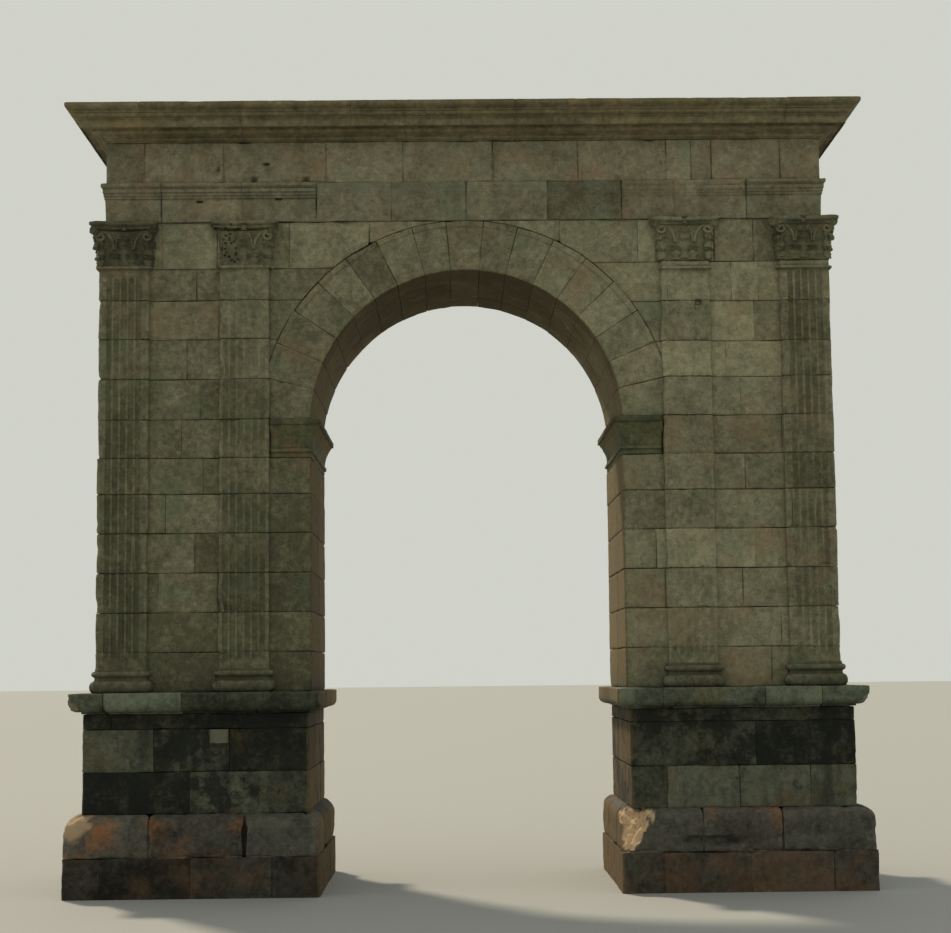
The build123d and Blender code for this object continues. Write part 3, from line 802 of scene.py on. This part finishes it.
def around_arch(points):
    """Bends a straight stack of stones round the arch: x is the radius, and z the length along the middle
    circle."""
    radius, bend = points[..., 0], points[..., 2] / ring_middle
    level = np.clip(ring_level + radius * np.sin(bend), springing + 0.001, crown - 0.001)
    return np.stack((radius * np.cos(bend), points[..., 1], level), axis=-1)


def ring_rim(side, base):
    """The rim stands out over the last part of the radius on the front and back faces, behind a soft step."""
    from_back = ring_outer - base[..., 0]
    groove = np.exp(-(((from_back - rim_width - 0.012) / 0.010) ** 2))
    return np.where(side % 2 == 0, rim_relief * held((rim_width - from_back) / 0.012) - 0.006 * groove, 0)


rim_lines = tuple(ring_outer - rim_width + np.array((-0.03, -0.018, -0.006, 0.002, 0.014)))
for part, solid in zip(stone_angles, ("voussoirs_left", "voussoirs_right", "keystone")):
    shells = []
    lengths = np.radians(stone_angles[part]) * ring_middle
    for number, (first, last) in enumerate(zip(lengths, lengths[1:])):
        seed = 200 + 10 * len(part) + number
        shells.append(course(
            (ring_inner, -wall_plane, first), (ring_outer, wall_plane, last),
            joints=((), (), (), bond(-1.45, 1.45, 0.95, seed)), steps=(0.035, 0.3, 0.12, 0.07),
            lines=(rim_lines, (), rim_lines, ()), relief=ring_rim, worn=0.011, gaping=0.5, place=around_arch,
            tones=chance.normal((-0.9 if part == "left" else 0.1, 0, 0), 0.35, (4, 3)), seed=seed,
        ))
    stand(f"arch_stones_{part}", shells, wall_finish, "wall_stone", solid)

# Spandrels: four more courses of the wall and the tall one between the capitals, cut round to the back of
# the ring. A plain clean block beside the left corner capital is a later repair.
tip_start, tip_end, tip_foot = 1.0, 1.44, 9.715


def arch_reach(start, way, end=0.0):
    """How far a course runs from its start towards the arch: to the back of the ring at each height."""
    def follow(reach, along, height, stone):
        """The reach at each height, from the circle of the back of the ring."""
        rise = np.clip(height - ring_level, 0, ring_outer)
        return start - np.maximum(np.sqrt(ring_outer**2 - rise**2), end) + 0 * along

    return (1, follow, 1, 1) if way < 0 else (1, 1, 1, follow)


for side, way in PIERS:
    shells = []
    for number, (bottom, top) in enumerate(zip(bed_joints[side][7:], bed_joints[side][8:]), start=7):
        joints = front_joints[side][number]
        inner, least = (tip_end, tip_end) if number == 11 else (3.0, 0.0)
        near, far = sorted((way * inner, way * wall_end))
        seed = 240 + 20 * way + number
        ends = bond(-wall_plane, wall_plane, 1.2 + 0.4 * (number % 2), seed)
        shells.append(course(
            (near, -wall_plane, bottom), (far, wall_plane, top), push=arch_reach(inner, way, least),
            joints=(joints, (), joints, ends) if way < 0 else (joints, ends, joints, ()),
            zones=(min(np.abs(joints)) - inner, 0.1)[::way],  # the end at the arch comes first on the right
            arris=0.03, worn=0.02,
            # Painted shadow of the architrave: a dark band along the top of the course between the capitals.
            soot_and_shade=((0, top - bottom - 0.05, top - bottom), (0, 0, 0.8 * (number == 11))),
            tones=block_tones[side, number], seed=seed,
        ))
    near, far = sorted((way * tip_start, way * tip_end))  # the thin end over the ring
    shells.append(course(
        (near, -wall_plane, tip_foot), (far, wall_plane, bed_joints[side][-1]), steps=(0.012, 0.3, 0.03, 0.3),
        push=arch_reach(tip_start, way), zones=(tip_end - tip_start, 0.0001)[::way], arris=0.02, worn=0.012,
        tones=((0.1, 0.2, 0.2),), seed=290 + way,
    ))
    stand(f"spandrel_courses_{side}", shells, wall_finish, "wall_stone", f"spandrel_{side}")

# Pilaster shafts: cut on the blocks of the wall, 85 mm proud, with five flutes at a corner and six beside
# the archway. The flutes are half gone, each course by its own amount, and the astragal is cut on the top
# block. Each block keeps the tone of the wall block that it is part of.
flute_half, flute_depth, flute_pitch, flute_foot, flute_head = 0.043, 0.036, 0.111, 0.09, 0.14
lost_corner = (3.525, 8.735, 0.036, 0.03)
astragal = ((0.014, 0.469), (0.036, 0.478), (0.044, 0.490), (0.040, 0.506), (0.018, 0.520))
kept_depth = {
    "corner_left": (0.6, 0.9, 0.9, 0.8, 0.95, 0.8, 0.7, 0.85, 0.8, 0.8, 0.85),
    "inner_left": (0.8, 0.9, 0.8, 0.7, 0.8, 0.65, 0.65, 0.6, 0.5, 0.35, 0.3),
    "inner_right": (0.5, 0.4, 0.3, 0.2, 0.25, 0.15, 0.15, 0.1, 0.1, 0.2, 0.15),
    "corner_right": (0.6, 0.7, 0.6, 0.5, 0.6, 0.6, 0.5, 0.6, 0.8, 0.95, 0.95),
}
shaft_tone = {"corner_left": -0.1, "inner_left": 0.6, "inner_right": 0.1, "corner_right": -0.8}


def fluting(rows, bottom, top, depth):
    """Half-round flutes with round ends: depth times the root of 1 - (d/r)^2, d measured to the flute's line.
    A hole is added where a block has lost its corner."""
    hole = slotted((lost_corner,), 0.09)

    def carve(side, base):
        """The flutes of each fluted face as relief, less what noise takes off."""
        inset = 0
        past = np.maximum(bottom + flute_half - base[..., 2], base[..., 2] - top + flute_half).clip(0)
        for face, axis, middles in rows:
            across = base[..., axis][..., None] - middles
            bowl = np.sqrt(held(1 - (across**2 + past[..., None] ** 2) / flute_half**2)).max(axis=-1)
            inset = inset - np.where(side == face, bowl, 0)
        left = np.clip(1 + 0.5 * noise(base, 0.35, 71) + 0.3 * noise(base, 0.11, 72), 0, 1.2)
        return flute_depth * depth * left * inset + hole(side, base)

    return carve


for name, kind, side, way, turned, low, high in pilasters():
    flutes = 5 if kind == "corner" else 6
    row = (np.arange(flutes) - (flutes - 1) / 2) * flute_pitch
    cuts = (-1, -0.88, -0.5, 0, 0.5, 0.88, 1) if turned < 0 else (-1, -0.75, 0, 0.75, 1)
    rows, lines = [], [(), (), (), ()]
    fluted = ((1 + turned, 0), (2 - way, 1))  # by the number of the side, and the axis along it
    for face, axis in fluted if kind == "corner" else fluted[:1]:
        middles = (low[axis] + high[axis]) / 2 + row
        rows.append((face, axis, middles))
        lines[face] = (middles[:, None] + flute_half * np.array(cuts)).ravel()
    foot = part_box(f"base_{name}")[1].z
    levels = (foot, *bed_joints[side][1:12])
    middle = (low.x + high.x) / 2
    shells = []
    for number, (bottom, top) in enumerate(zip(levels, levels[1:])):
        upright = ((0, 0), (0, 0.467), *astragal, (0, 0.524), (0, top - bottom)) if number == 10 else None
        joints = front_joints[side][number]
        through = [joint for joint in joints if turned < 0 and low.x + 0.1 < joint < high.x - 0.1]
        tones = block_tones[side, number]
        tone = tones[sum(joint < middle for joint in joints)] + (shaft_tone[f"{kind}_{side}"], 0, 0)
        depth = kept_depth[f"{kind}_{side}"][number] if turned < 0 else 0.7
        shells.append(course(
            (low.x, low.y, bottom), (high.x, high.y, top), upright, rise=0.08 if turned < 0 else 0.15,
            steps=(0.2,) * 4, joints=(through, (), (), ()), lines=lines,
            relief=fluting(rows, foot + flute_foot, levels[-1] - flute_head, depth), arris=0.055,
            worn=0.03 if way < 0 else 0.022, chips=0.28, eroded=0.008, pitted=0.014, cut=(number > 0, True),
            tones=(tone,), seed=320 + 60 * (way > 0) + 25 * (turned > 0) + 12 * (kind == "inner") + number,
        ))
    stand(f"shaft_blocks_{name}", shells, wall_finish, "wall_stone", f"shaft_{name}")

# Capitals: one block each, with two tiers of acanthus leaves round a flaring bell, stalks that roll into a
# volute under each horn of a hollowed abacus, and a rosette. Weather has blurred them; the left inner one
# has lost the leaves on one side, and only the holes of the carver's drill are left there.
capital_finish = stone_finish(
    "capital_stone", pale=(0.168, 0.162, 0.098), deep=(0.070, 0.068, 0.040), warm=(0.15, 0.105, 0.055),
    green=(0.082, 0.104, 0.052), growth_and_shade=(0.024, 0.027, 0.015), rubbed=(0.165, 0.160, 0.105), streaks=0.25,
    spread=0.45,
)
UP = np.array((0, 0, 1.0))
abacus_foot, horn_reach, capital_top = 0.565, 0.150, 0.690
flare = np.linspace(0, 1, 9)
bell = np.stack((0.004 + 0.062 * flare**3.4, abacus_foot * flare), axis=-1)
abacus = (
    (0.105, 0.572), (0.122, 0.588), (0.116, 0.612), (0.134, 0.626), (horn_reach, 0.640), (horn_reach, 0.680),
    (0.120, capital_top), (-0.05, capital_top),
)
leaf_kept = {"corner_left": 0.95, "inner_left": 0.55, "inner_right": 0.45, "corner_right": 0.9}
capital_tones = {
    "corner_left": (-0.5, 0, 0.5), "inner_left": (0.9, 0, 0.0), "inner_right": (1.7, 0, -0.8),
    "corner_right": (0.7, 0, 0.1),
}


def wrapped(points, front, dirt_and_shade):
    """A closed shape over points numbered by the way along it and round it, rubbed by half on its front."""
    index = np.arange(points[..., 0].size).reshape(points.shape[:2])
    wear_and_shade = np.stack([part + 0 * index for part in (0.5 * front, 0, dirt_and_shade)], axis=-1).reshape(-1, 3)
    return points.reshape(-1, 3), closed_skin(index), 0 * wear_and_shade, wear_and_shade


def tube(path, widths, depths, across, normal, lobes, rib, around, seed):
    """A closed shape along a path. Its section, at an angle a round it, is half the width times cos a across
    and half the depth times sin a along the normal; the edges fall back as cos a squared, a rib stands along
    the middle of the front, and the edge between lobes sinks as the cosine of the way along."""
    angle = np.linspace(0, 2 * pi, around, endpoint=False)
    front, edge = held(np.sin(angle)), np.abs(np.cos(angle))
    along = np.linspace(0, 1, len(path))[:, None]
    valley = 0.5 - 0.5 * np.cos(2 * pi * lobes * along)
    widths, depths = widths[:, None], depths[:, None]
    side = widths * np.cos(angle)
    fold = depths * np.sin(angle) - 0.14 * widths * edge**2 + rib * front * np.exp(-((side / 0.022) ** 2))
    fold = fold - 0.9 * depths * valley * front * edge
    points = path[:, None] + side[..., None] * across + fold[..., None] * normal[:, None]
    for octave, (cell, amount) in enumerate(((0.11, 0.010), (0.045, 0.006))):
        moved = [noise(points, cell, seed + 3 * octave + axis) for axis in range(3)]
        points = points + amount * np.stack(moved, axis=-1)
    # Dirt and painted shade on the back and sides of the shape and along the edges between lobes.
    return wrapped(points, front, 0.85 * (1 - front) ** 1.5 + 0.35 * valley * edge)


def leaf(foot, across, outward, width, height, reach, seed):
    """An acanthus leaf. Its midrib climbs and turns over, the angle growing as a smooth step of the way
    along, and is scaled to the height and the reach; the blade swells in three lobes and closes at the
    tip."""
    way_up = np.linspace(0, 1, 17)
    bend = held((way_up - 0.42) / 0.58)
    angle = pi / 2 - 2.5 * bend * bend * (3 - 2 * bend)
    out, climb = np.cumsum(np.cos(angle)), np.cumsum(np.sin(angle))
    out, climb = 0.010 + out / out.max() * reach, climb / climb.max() * height
    path = foot + out[:, None] * outward + climb[:, None] * UP
    normal = np.sin(angle)[:, None] * outward - np.cos(angle)[:, None] * UP
    lobed = (0.80 + 0.20 * np.sin(pi * way_up)) * (0.82 + 0.18 * np.cos(2 * pi * 3 * way_up))
    blade = width / 2 * lobed * np.sqrt(1 - 0.6 * held((way_up - 0.75) / 0.25) ** 2)
    return tube(path, blade, 0.018 + 0.014 * way_up, across, normal, 3, 0.012, 12, seed)


def horn_bracket(foot, across, diagonal, seed):
    """The mass of the two volutes that meet under a horn: it leaves the bell upright and bends out under the
    abacus as a quarter of an ellipse, and swells as the sine of the way along. Dirt and painted shade lie on
    it all over, most on its underside."""
    bend = np.linspace(0, pi / 2, 9)
    out, climb = 0.155 * (1 - np.cos(bend)), 0.32 + 0.255 * np.sin(bend)
    path = foot + out[:, None] * diagonal + climb[:, None] * UP
    normal = np.cos(bend)[:, None] * diagonal - np.sin(bend)[:, None] * UP
    swell = np.sin(bend)
    shell = tube(path, 0.045 + 0.030 * swell, 0.026 + 0.036 * swell, across, normal, 0, 0.010, 10, seed)
    # Dirt and painted shade on the whole bracket, at least 0.6.
    shell[3][:, 2] = np.maximum(shell[3][:, 2], 0.6)
    return shell


def scroll(foot, across, outward, lean, rise, eye_size, thick, seed):
    """A stalk that rises, leans over and rolls up: a quarter cosine up to the rim of the volute, and then a
    spiral whose radius falls evenly to 0.38 of its first size. Its section is a circle."""
    stalk, wind = np.linspace(0, 1, 9)[:-1], np.linspace(0, 1, 17)
    radius = eye_size * (1 - 0.62 * wind)
    turned = pi / 2 - np.sign(lean) * 2.6 * pi * wind
    x = np.concatenate((lean * (1 - np.cos(stalk * pi / 2)), lean + radius * np.cos(turned)))
    z = np.concatenate(((rise + eye_size) * np.sin(stalk * pi / 2), rise + radius * np.sin(turned)))
    proud = np.concatenate((0.014 + 0.026 * stalk, 0.040 + 0.020 * wind))
    path = foot + x[:, None] * across + z[:, None] * UP + proud[:, None] * outward
    step = np.gradient(path, axis=0)
    sideways = np.cross(step / np.linalg.norm(step, axis=1, keepdims=True), outward)
    angle = np.linspace(0, 2 * pi, 7, endpoint=False)
    ring = np.cos(angle)[:, None] * sideways[:, None] + np.sin(angle)[:, None] * outward
    ring = path[:, None] + thick * ring
    ring = ring + 0.005 * noise(ring, 0.05, seed)[..., None] * outward
    front = held(np.sin(angle))
    # Dirt and painted shade on the back and sides of the stalk.
    return wrapped(ring, front, 0.85 * (1 - front) ** 1.5)


def bored(places, size, deep):
    """Round holes in the front face at these places: as deep as told inside the size, and none outside it."""
    def carve(side, base):
        """The holes as relief, falling off as the square of the distance."""
        off = np.hypot(base[..., 0][..., None] - places[:, 0], base[..., 2][..., None] - places[:, 1])
        return np.where(side == 0, -deep * held(1.6 * (1 - (off / size) ** 2)).max(axis=-1), 0)

    return carve


def abacus_hollow(start, length):
    """The abacus curves in between its horns, by the square of the distance from the middle."""
    def hollowed(reach, along, height, stone):
        """The reach, less the curve above the start."""
        return reach - np.where(height > start, 0.075 * held(1 - (2 * along / length - 1) ** 2), 0)

    return hollowed


def set_out(spot, height, outward):
    """A place on a block, the way out from it, and the way across."""
    outward = np.array((*outward, 0)) / np.hypot(*outward)
    return np.array((*spot, height)), outward, np.array((-outward[1], outward[0], 0))


for name, kind, side, way, turned, low, high in pilasters():
    low.z = bed_joints[side][11]
    rise = capital_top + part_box("capital_corner_front_left")[0].z - low.z
    seed = 450 + 40 * (way > 0) + 20 * (turned > 0) + 10 * (kind == "inner")
    hollowed = abacus_hollow(low.z + 0.56, high.x - low.x)
    half_lost = name == "inner_front_left"
    fine = 0.014 if half_lost else 0.04
    drill = np.random.default_rng(7)
    spots = np.stack((drill.uniform(low.x + 0.03, low.x + 0.28, 30), drill.uniform(9.40, 9.98, 30)), axis=-1)
    core = course(
        low, high, np.concatenate((bell, abacus)) * (1, rise / capital_top), rise=fine,
        push=(hollowed, hollowed if kind == "corner" else 1) * 2, steps=(fine, 0.05, 0.05, 0.05),
        relief=bored(spots, 0.017, 0.035) if half_lost else None, arris=0.06, chips=0.2, eroded=0.014,
        pitted=0.016, cut=(True, False), tones=((0, 0, 0),), zones=(0.2, 0.2), seed=seed,
    )
    # Dirt and painted shade on the bell behind the leaves, below the abacus.
    core[3][:, 2] = np.maximum(core[3][:, 2], 0.45 * (core[0][:, 2] < low.z + 0.55))
    shells = [core]
    kept = leaf_kept[f"{kind}_{side}"]
    plane, rear = (low.y, high.y) if turned < 0 else (high.y, low.y)
    views = [(((low.x + high.x) / 2, plane), (0, turned))]
    horns = [((low.x, plane), (-1, turned)), ((high.x, plane), (1, turned))]
    if kind == "corner":
        end = high.x if way > 0 else low.x
        views.append(((end, (low.y + high.y) / 2), (way, 0)))
        horns.append(((end, rear), (way, -turned)))
    for number, (spot, outward) in enumerate(views):
        foot, outward, across = set_out(spot, low.z, outward)
        pick = seed + 3 * number
        for lane in (0.125,) if half_lost else (-0.125, 0.125):
            shells.append(leaf(foot + lane * across, across, outward, 0.22, 0.19, 0.055 * kept, pick + 1))
        shells.append(leaf(foot, across, outward, 0.25, 0.40, 0.085 * kept, pick + 2))
        for lean in (1,) if half_lost else (-1, 1):
            start = foot + lean * 0.15 * across + 0.28 * UP + 0.012 * outward
            shells.append(scroll(start, across, outward, lean * 0.195, 0.195, 0.070, 0.027, pick + 4))
            start = start - lean * 0.03 * across
            shells.append(scroll(start, across, outward, -lean * 0.055, 0.20, 0.034, 0.015, pick + 5))
        rosette = foot + 0.56 * UP + 0.040 * outward
        shells.append(leaf(rosette, across, outward, 0.13, 0.085, 0.035 * kept, pick + 6))
    for number, (spot, outward) in enumerate(horns):
        if half_lost and number == 0:
            continue
        foot, diagonal, across = set_out(spot, low.z, outward)
        foot = foot - 0.022 * diagonal
        shells.append(leaf(foot, across, diagonal, 0.22, 0.17, 0.050 * kept, seed + 11 + number))
        shells.append(leaf(foot, across, diagonal, 0.24, 0.38, 0.085 * kept, seed + 14 + number))
        shells.append(horn_bracket(foot, across, diagonal, seed + 17 + number))
    tone = capital_tones[f"{kind}_{side}"]
    shells = [(points, faces, 0 * tint + tone, wear_and_shade) for points, faces, tint, wear_and_shade in shells]
    stand(f"capital_stone_{name}", shells, capital_finish, "carved_stone", f"capital_{name}")

# Architrave: one course of long blocks right through the arch, with shallow fasciae under a run of thin
# mouldings. The four over the archway are plain restored blocks, and the two to their right nearly so.
upper_finish = stone_finish(
    "entablature_stone", pale=(0.254, 0.236, 0.152), deep=(0.136, 0.124, 0.074), warm=(0.245, 0.175, 0.100),
    green=(0.170, 0.190, 0.130), growth_and_shade=(0.040, 0.040, 0.028), rubbed=(0.28, 0.265, 0.18), streaks=0.20,
    spread=0.20,
)
upper_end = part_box("frieze")[1].x
architrave_tall = 0.604
fasciae = (
    (0, 0), (0.003, 0.13), (0.008, 0.262), (0.010, 0.300), (0.0105, 0.312), (0.0115, 0.334), (0.012, 0.346),
    (0.0125, 0.362), (0.013, 0.367),
)
crown_moulding = (
    (0.025, 0.373), (0.026, 0.412), (0.036, 0.417), (0.038, 0.460), (0.048, 0.466), (0.050, 0.512),
    (0.045, 0.518), (0.050, 0.530), (0.062, 0.546), (0.075, 0.556), (0.075, 0.600), (0.066, architrave_tall),
    (-0.20, architrave_tall),
)
architrave_joints = (-4.6, -3.38, -2.25, -1.11, 0.03, 1.27, 2.4, 3.2, 4.3)
architrave_tones = (
    (-0.4, 0, 0.5), (-0.1, 0, 0.2), (-0.3, 0, 0.3), (-0.3, -2.4, -0.8), (-0.6, -2.2, -0.6),
    (-0.2, -1.6, -1.0), (-1.3, -2.4, -0.6), (-0.3, 0.3, -0.4), (0.0, 0.4, -0.2), (-0.4, 0, 0.6),
)
moulding_kept = np.array((1, 1, 1, 0.03, 0.03, 0.03, 0.03, 0.40, 0.45, 1) + (1,) * 30)
architrave_slots = ((-4.02, 10.359, 0.042, 0.012), (-2.82, 10.390, 0.042, 0.010))


def restored(reach, along, height, stone):
    """The front's mouldings, each block by the amount that is left on it."""
    return reach * moulding_kept[stone % len(moulding_kept)] + 0 * along


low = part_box("architrave")[0]
shell = course(
    (-upper_end, -wall_plane, low.z), (upper_end, wall_plane, low.z + architrave_tall),
    fasciae + crown_moulding, relief=slotted(architrave_slots, 0.07), rise=0.05, push=(restored, 1, 1, 1),
    joints=(architrave_joints, (-0.3,), (-4.2, -3.0, -1.9, -0.7, 0.6, 1.8, 2.9, 4.1), (0.2,)),
    lines=((-4.08, -4.06, -3.98, -3.96, -2.88, -2.86, -2.78, -2.76), (), (), ()),
    steps=(0.045, 0.10, 0.10, 0.10), arris=0.016, worn=0.014, chips=0.08, cut=(True, False),
    zones=(0.4, 0.4), gaping=1.0, stained=0.9,
    tones=np.concatenate((architrave_tones, chance.normal(0, 0.4, (20, 3)))), seed=500,
)
stand("architrave_blocks", [shell], upper_finish, "entablature_stone", "architrave")

# Frieze: a plain course of long blocks, dry jointed, in line with the wall below. A slot and three smaller
# holes are left where something was once let in.
frieze_joints = (-4.86, -3.66, -2.10, -0.93, 0.44, 1.74, 3.09, 3.47, 3.78, 4.83)
frieze_tones = (
    (-0.6, 0, 0.9), (0.2, 0, 0.1), (0.0, 0.2, 0.2), (0.4, 0, -0.3), (0.2, 0.3, -0.1), (0.0, 0, 0.1),
    (0.3, 0.2, -0.2), (0.8, 0, -0.6), (0.1, 0, 0), (0.3, 0.5, -0.2), (0.1, 0.9, -0.2),
)
frieze_holes = (
    (-3.01, 10.94, 0.042, 0.014), (-3.20, 10.69, 0.03, 0.025), (-2.40, 10.69, 0.035, 0.03),
    (-3.76, 10.87, 0.018, 0.02),
)
low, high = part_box("frieze")
shell = course(
    (-upper_end, -wall_plane, low.z), (upper_end, wall_plane, high.z),
    ((0, 0), (0, 0.274), (0, 0.286), (0, 0.314), (0, 0.326), (0, high.z - low.z)),
    joints=(frieze_joints, (-0.5, 0.6), (-4.5, -3.4, -2.2, -1.0, 0.3, 1.6, 2.7, 3.9), (-0.4, 0.7)),
    rise=0.055, steps=(0.042, 0.10, 0.14, 0.10), relief=slotted(frieze_holes, 0.07),
    lines=((-3.07, -3.05, -2.97, -2.95), (), (), ()), arris=0.02, worn=0.014, chips=0.10, eroded=0.007,
    pitted=0.012, gaping=0.9, stained=0.7,
    tones=np.concatenate((frieze_tones, chance.normal(0, 0.4, (20, 3)))), seed=510,
)
stand("frieze_blocks", [shell], upper_finish, "entablature_stone", "frieze")

# Cornice: long blocks that stand out on all four sides. From below they have a bed mould, an ovolo, the
# corona with its drip, a second ovolo, a cyma and the top fillet. Slabs fill the top between them.
cornice_finish = stone_finish(
    "cornice_stone", pale=(0.242, 0.214, 0.120), deep=(0.118, 0.102, 0.054), warm=(0.215, 0.155, 0.078),
    green=(0.135, 0.140, 0.072), growth_and_shade=(0.034, 0.032, 0.018), rubbed=(0.25, 0.22, 0.13), streaks=0.25,
    spread=0.25,
)
cornice_joints = (-4.87, -4.12, -3.35, -2.52, -1.70, -0.88, -0.04, 0.78, 1.56, 2.36, 3.25, 4.07, 4.87)
turn_in = np.linspace(0, pi / 2, 6)
half = np.linspace(0, 1, 7)
bed_mould = np.stack((0.018 + 0.100 * half + 0.014 * np.sin(2 * pi * half), 0.012 + 0.062 * half), axis=-1)
ovolo = np.stack((0.140 + 0.060 * np.sin(turn_in), 0.086 + 0.056 * (1 - np.cos(turn_in))), axis=-1)
corona = ((0.335, 0.164), (0.338, 0.148), (0.350, 0.148), (0.360, 0.268), (0.371, 0.272), (0.373, 0.288))
upper_ovolo = np.stack((0.376 + 0.062 * np.sin(turn_in), 0.292 + 0.060 * (1 - np.cos(turn_in))), axis=-1)
cyma = np.stack((0.458 + 0.084 * (half - 0.13 * np.sin(2 * pi * half)), 0.366 + 0.068 * half), axis=-1)
top_fillet = ((0.546, 0.437), (0.548, 0.480), (0.540, 0.487), (-0.28, 0.488), (-0.30, 0.38))
cornice_profile = np.concatenate((
    ((0, 0), (0.016, 0.002)), bed_mould, ((0.119, 0.078), (0.138, 0.080)), ovolo,
    ((0.202, 0.156), (0.210, 0.162)), corona, upper_ovolo, ((0.454, 0.354), (0.456, 0.364)), cyma, top_fillet,
))
low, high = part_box("cornice")
shell = course(
    (-upper_end, -wall_plane, low.z), (upper_end, wall_plane, high.z), cornice_profile,
    joints=(cornice_joints, (-0.7, 0.3), cornice_joints, (-0.4, 0.6)), rise=0.09,
    steps=(0.08, 0.14, 0.18, 0.14), arris=0.012, worn=0.008, chips=0.06, eroded=0.005, pitted=0.005,
    # Painted shade and dirt on the cyma and the top fillet, darker towards the top.
    cut=(False, False), zones=(0.56, 0.56), gaping=0.4, soot_and_shade=((0.36, 0.43, 0.49), (0.05, 0.22, 0.30)),
    tones=chance.normal((-0.1, 0.1, 0.2), (0.22, 0.4, 0.4), (40, 3)), seed=520,
)


def laid_flat(points):
    """Turns a standing stack on its back, so that its front face looks up."""
    return np.stack((points[..., 0], points[..., 2], -points[..., 1]), axis=-1)


infill = course(
    (-5.17, 0.006 - high.z, -1.18), (5.17, 0.25 - high.z, 1.18),
    joints=((-4.1, -2.7, -1.3, 0.1, 1.5, 2.9, 4.2), (), (), ()), rise=0.08, steps=(0.08, 0.3, 0.3, 0.3),
    pitted=0.006, worn=0.03, place=laid_flat, seed=530,
)
stand("cornice_blocks", [shell, infill], cornice_finish, "entablature_stone", "cornice")
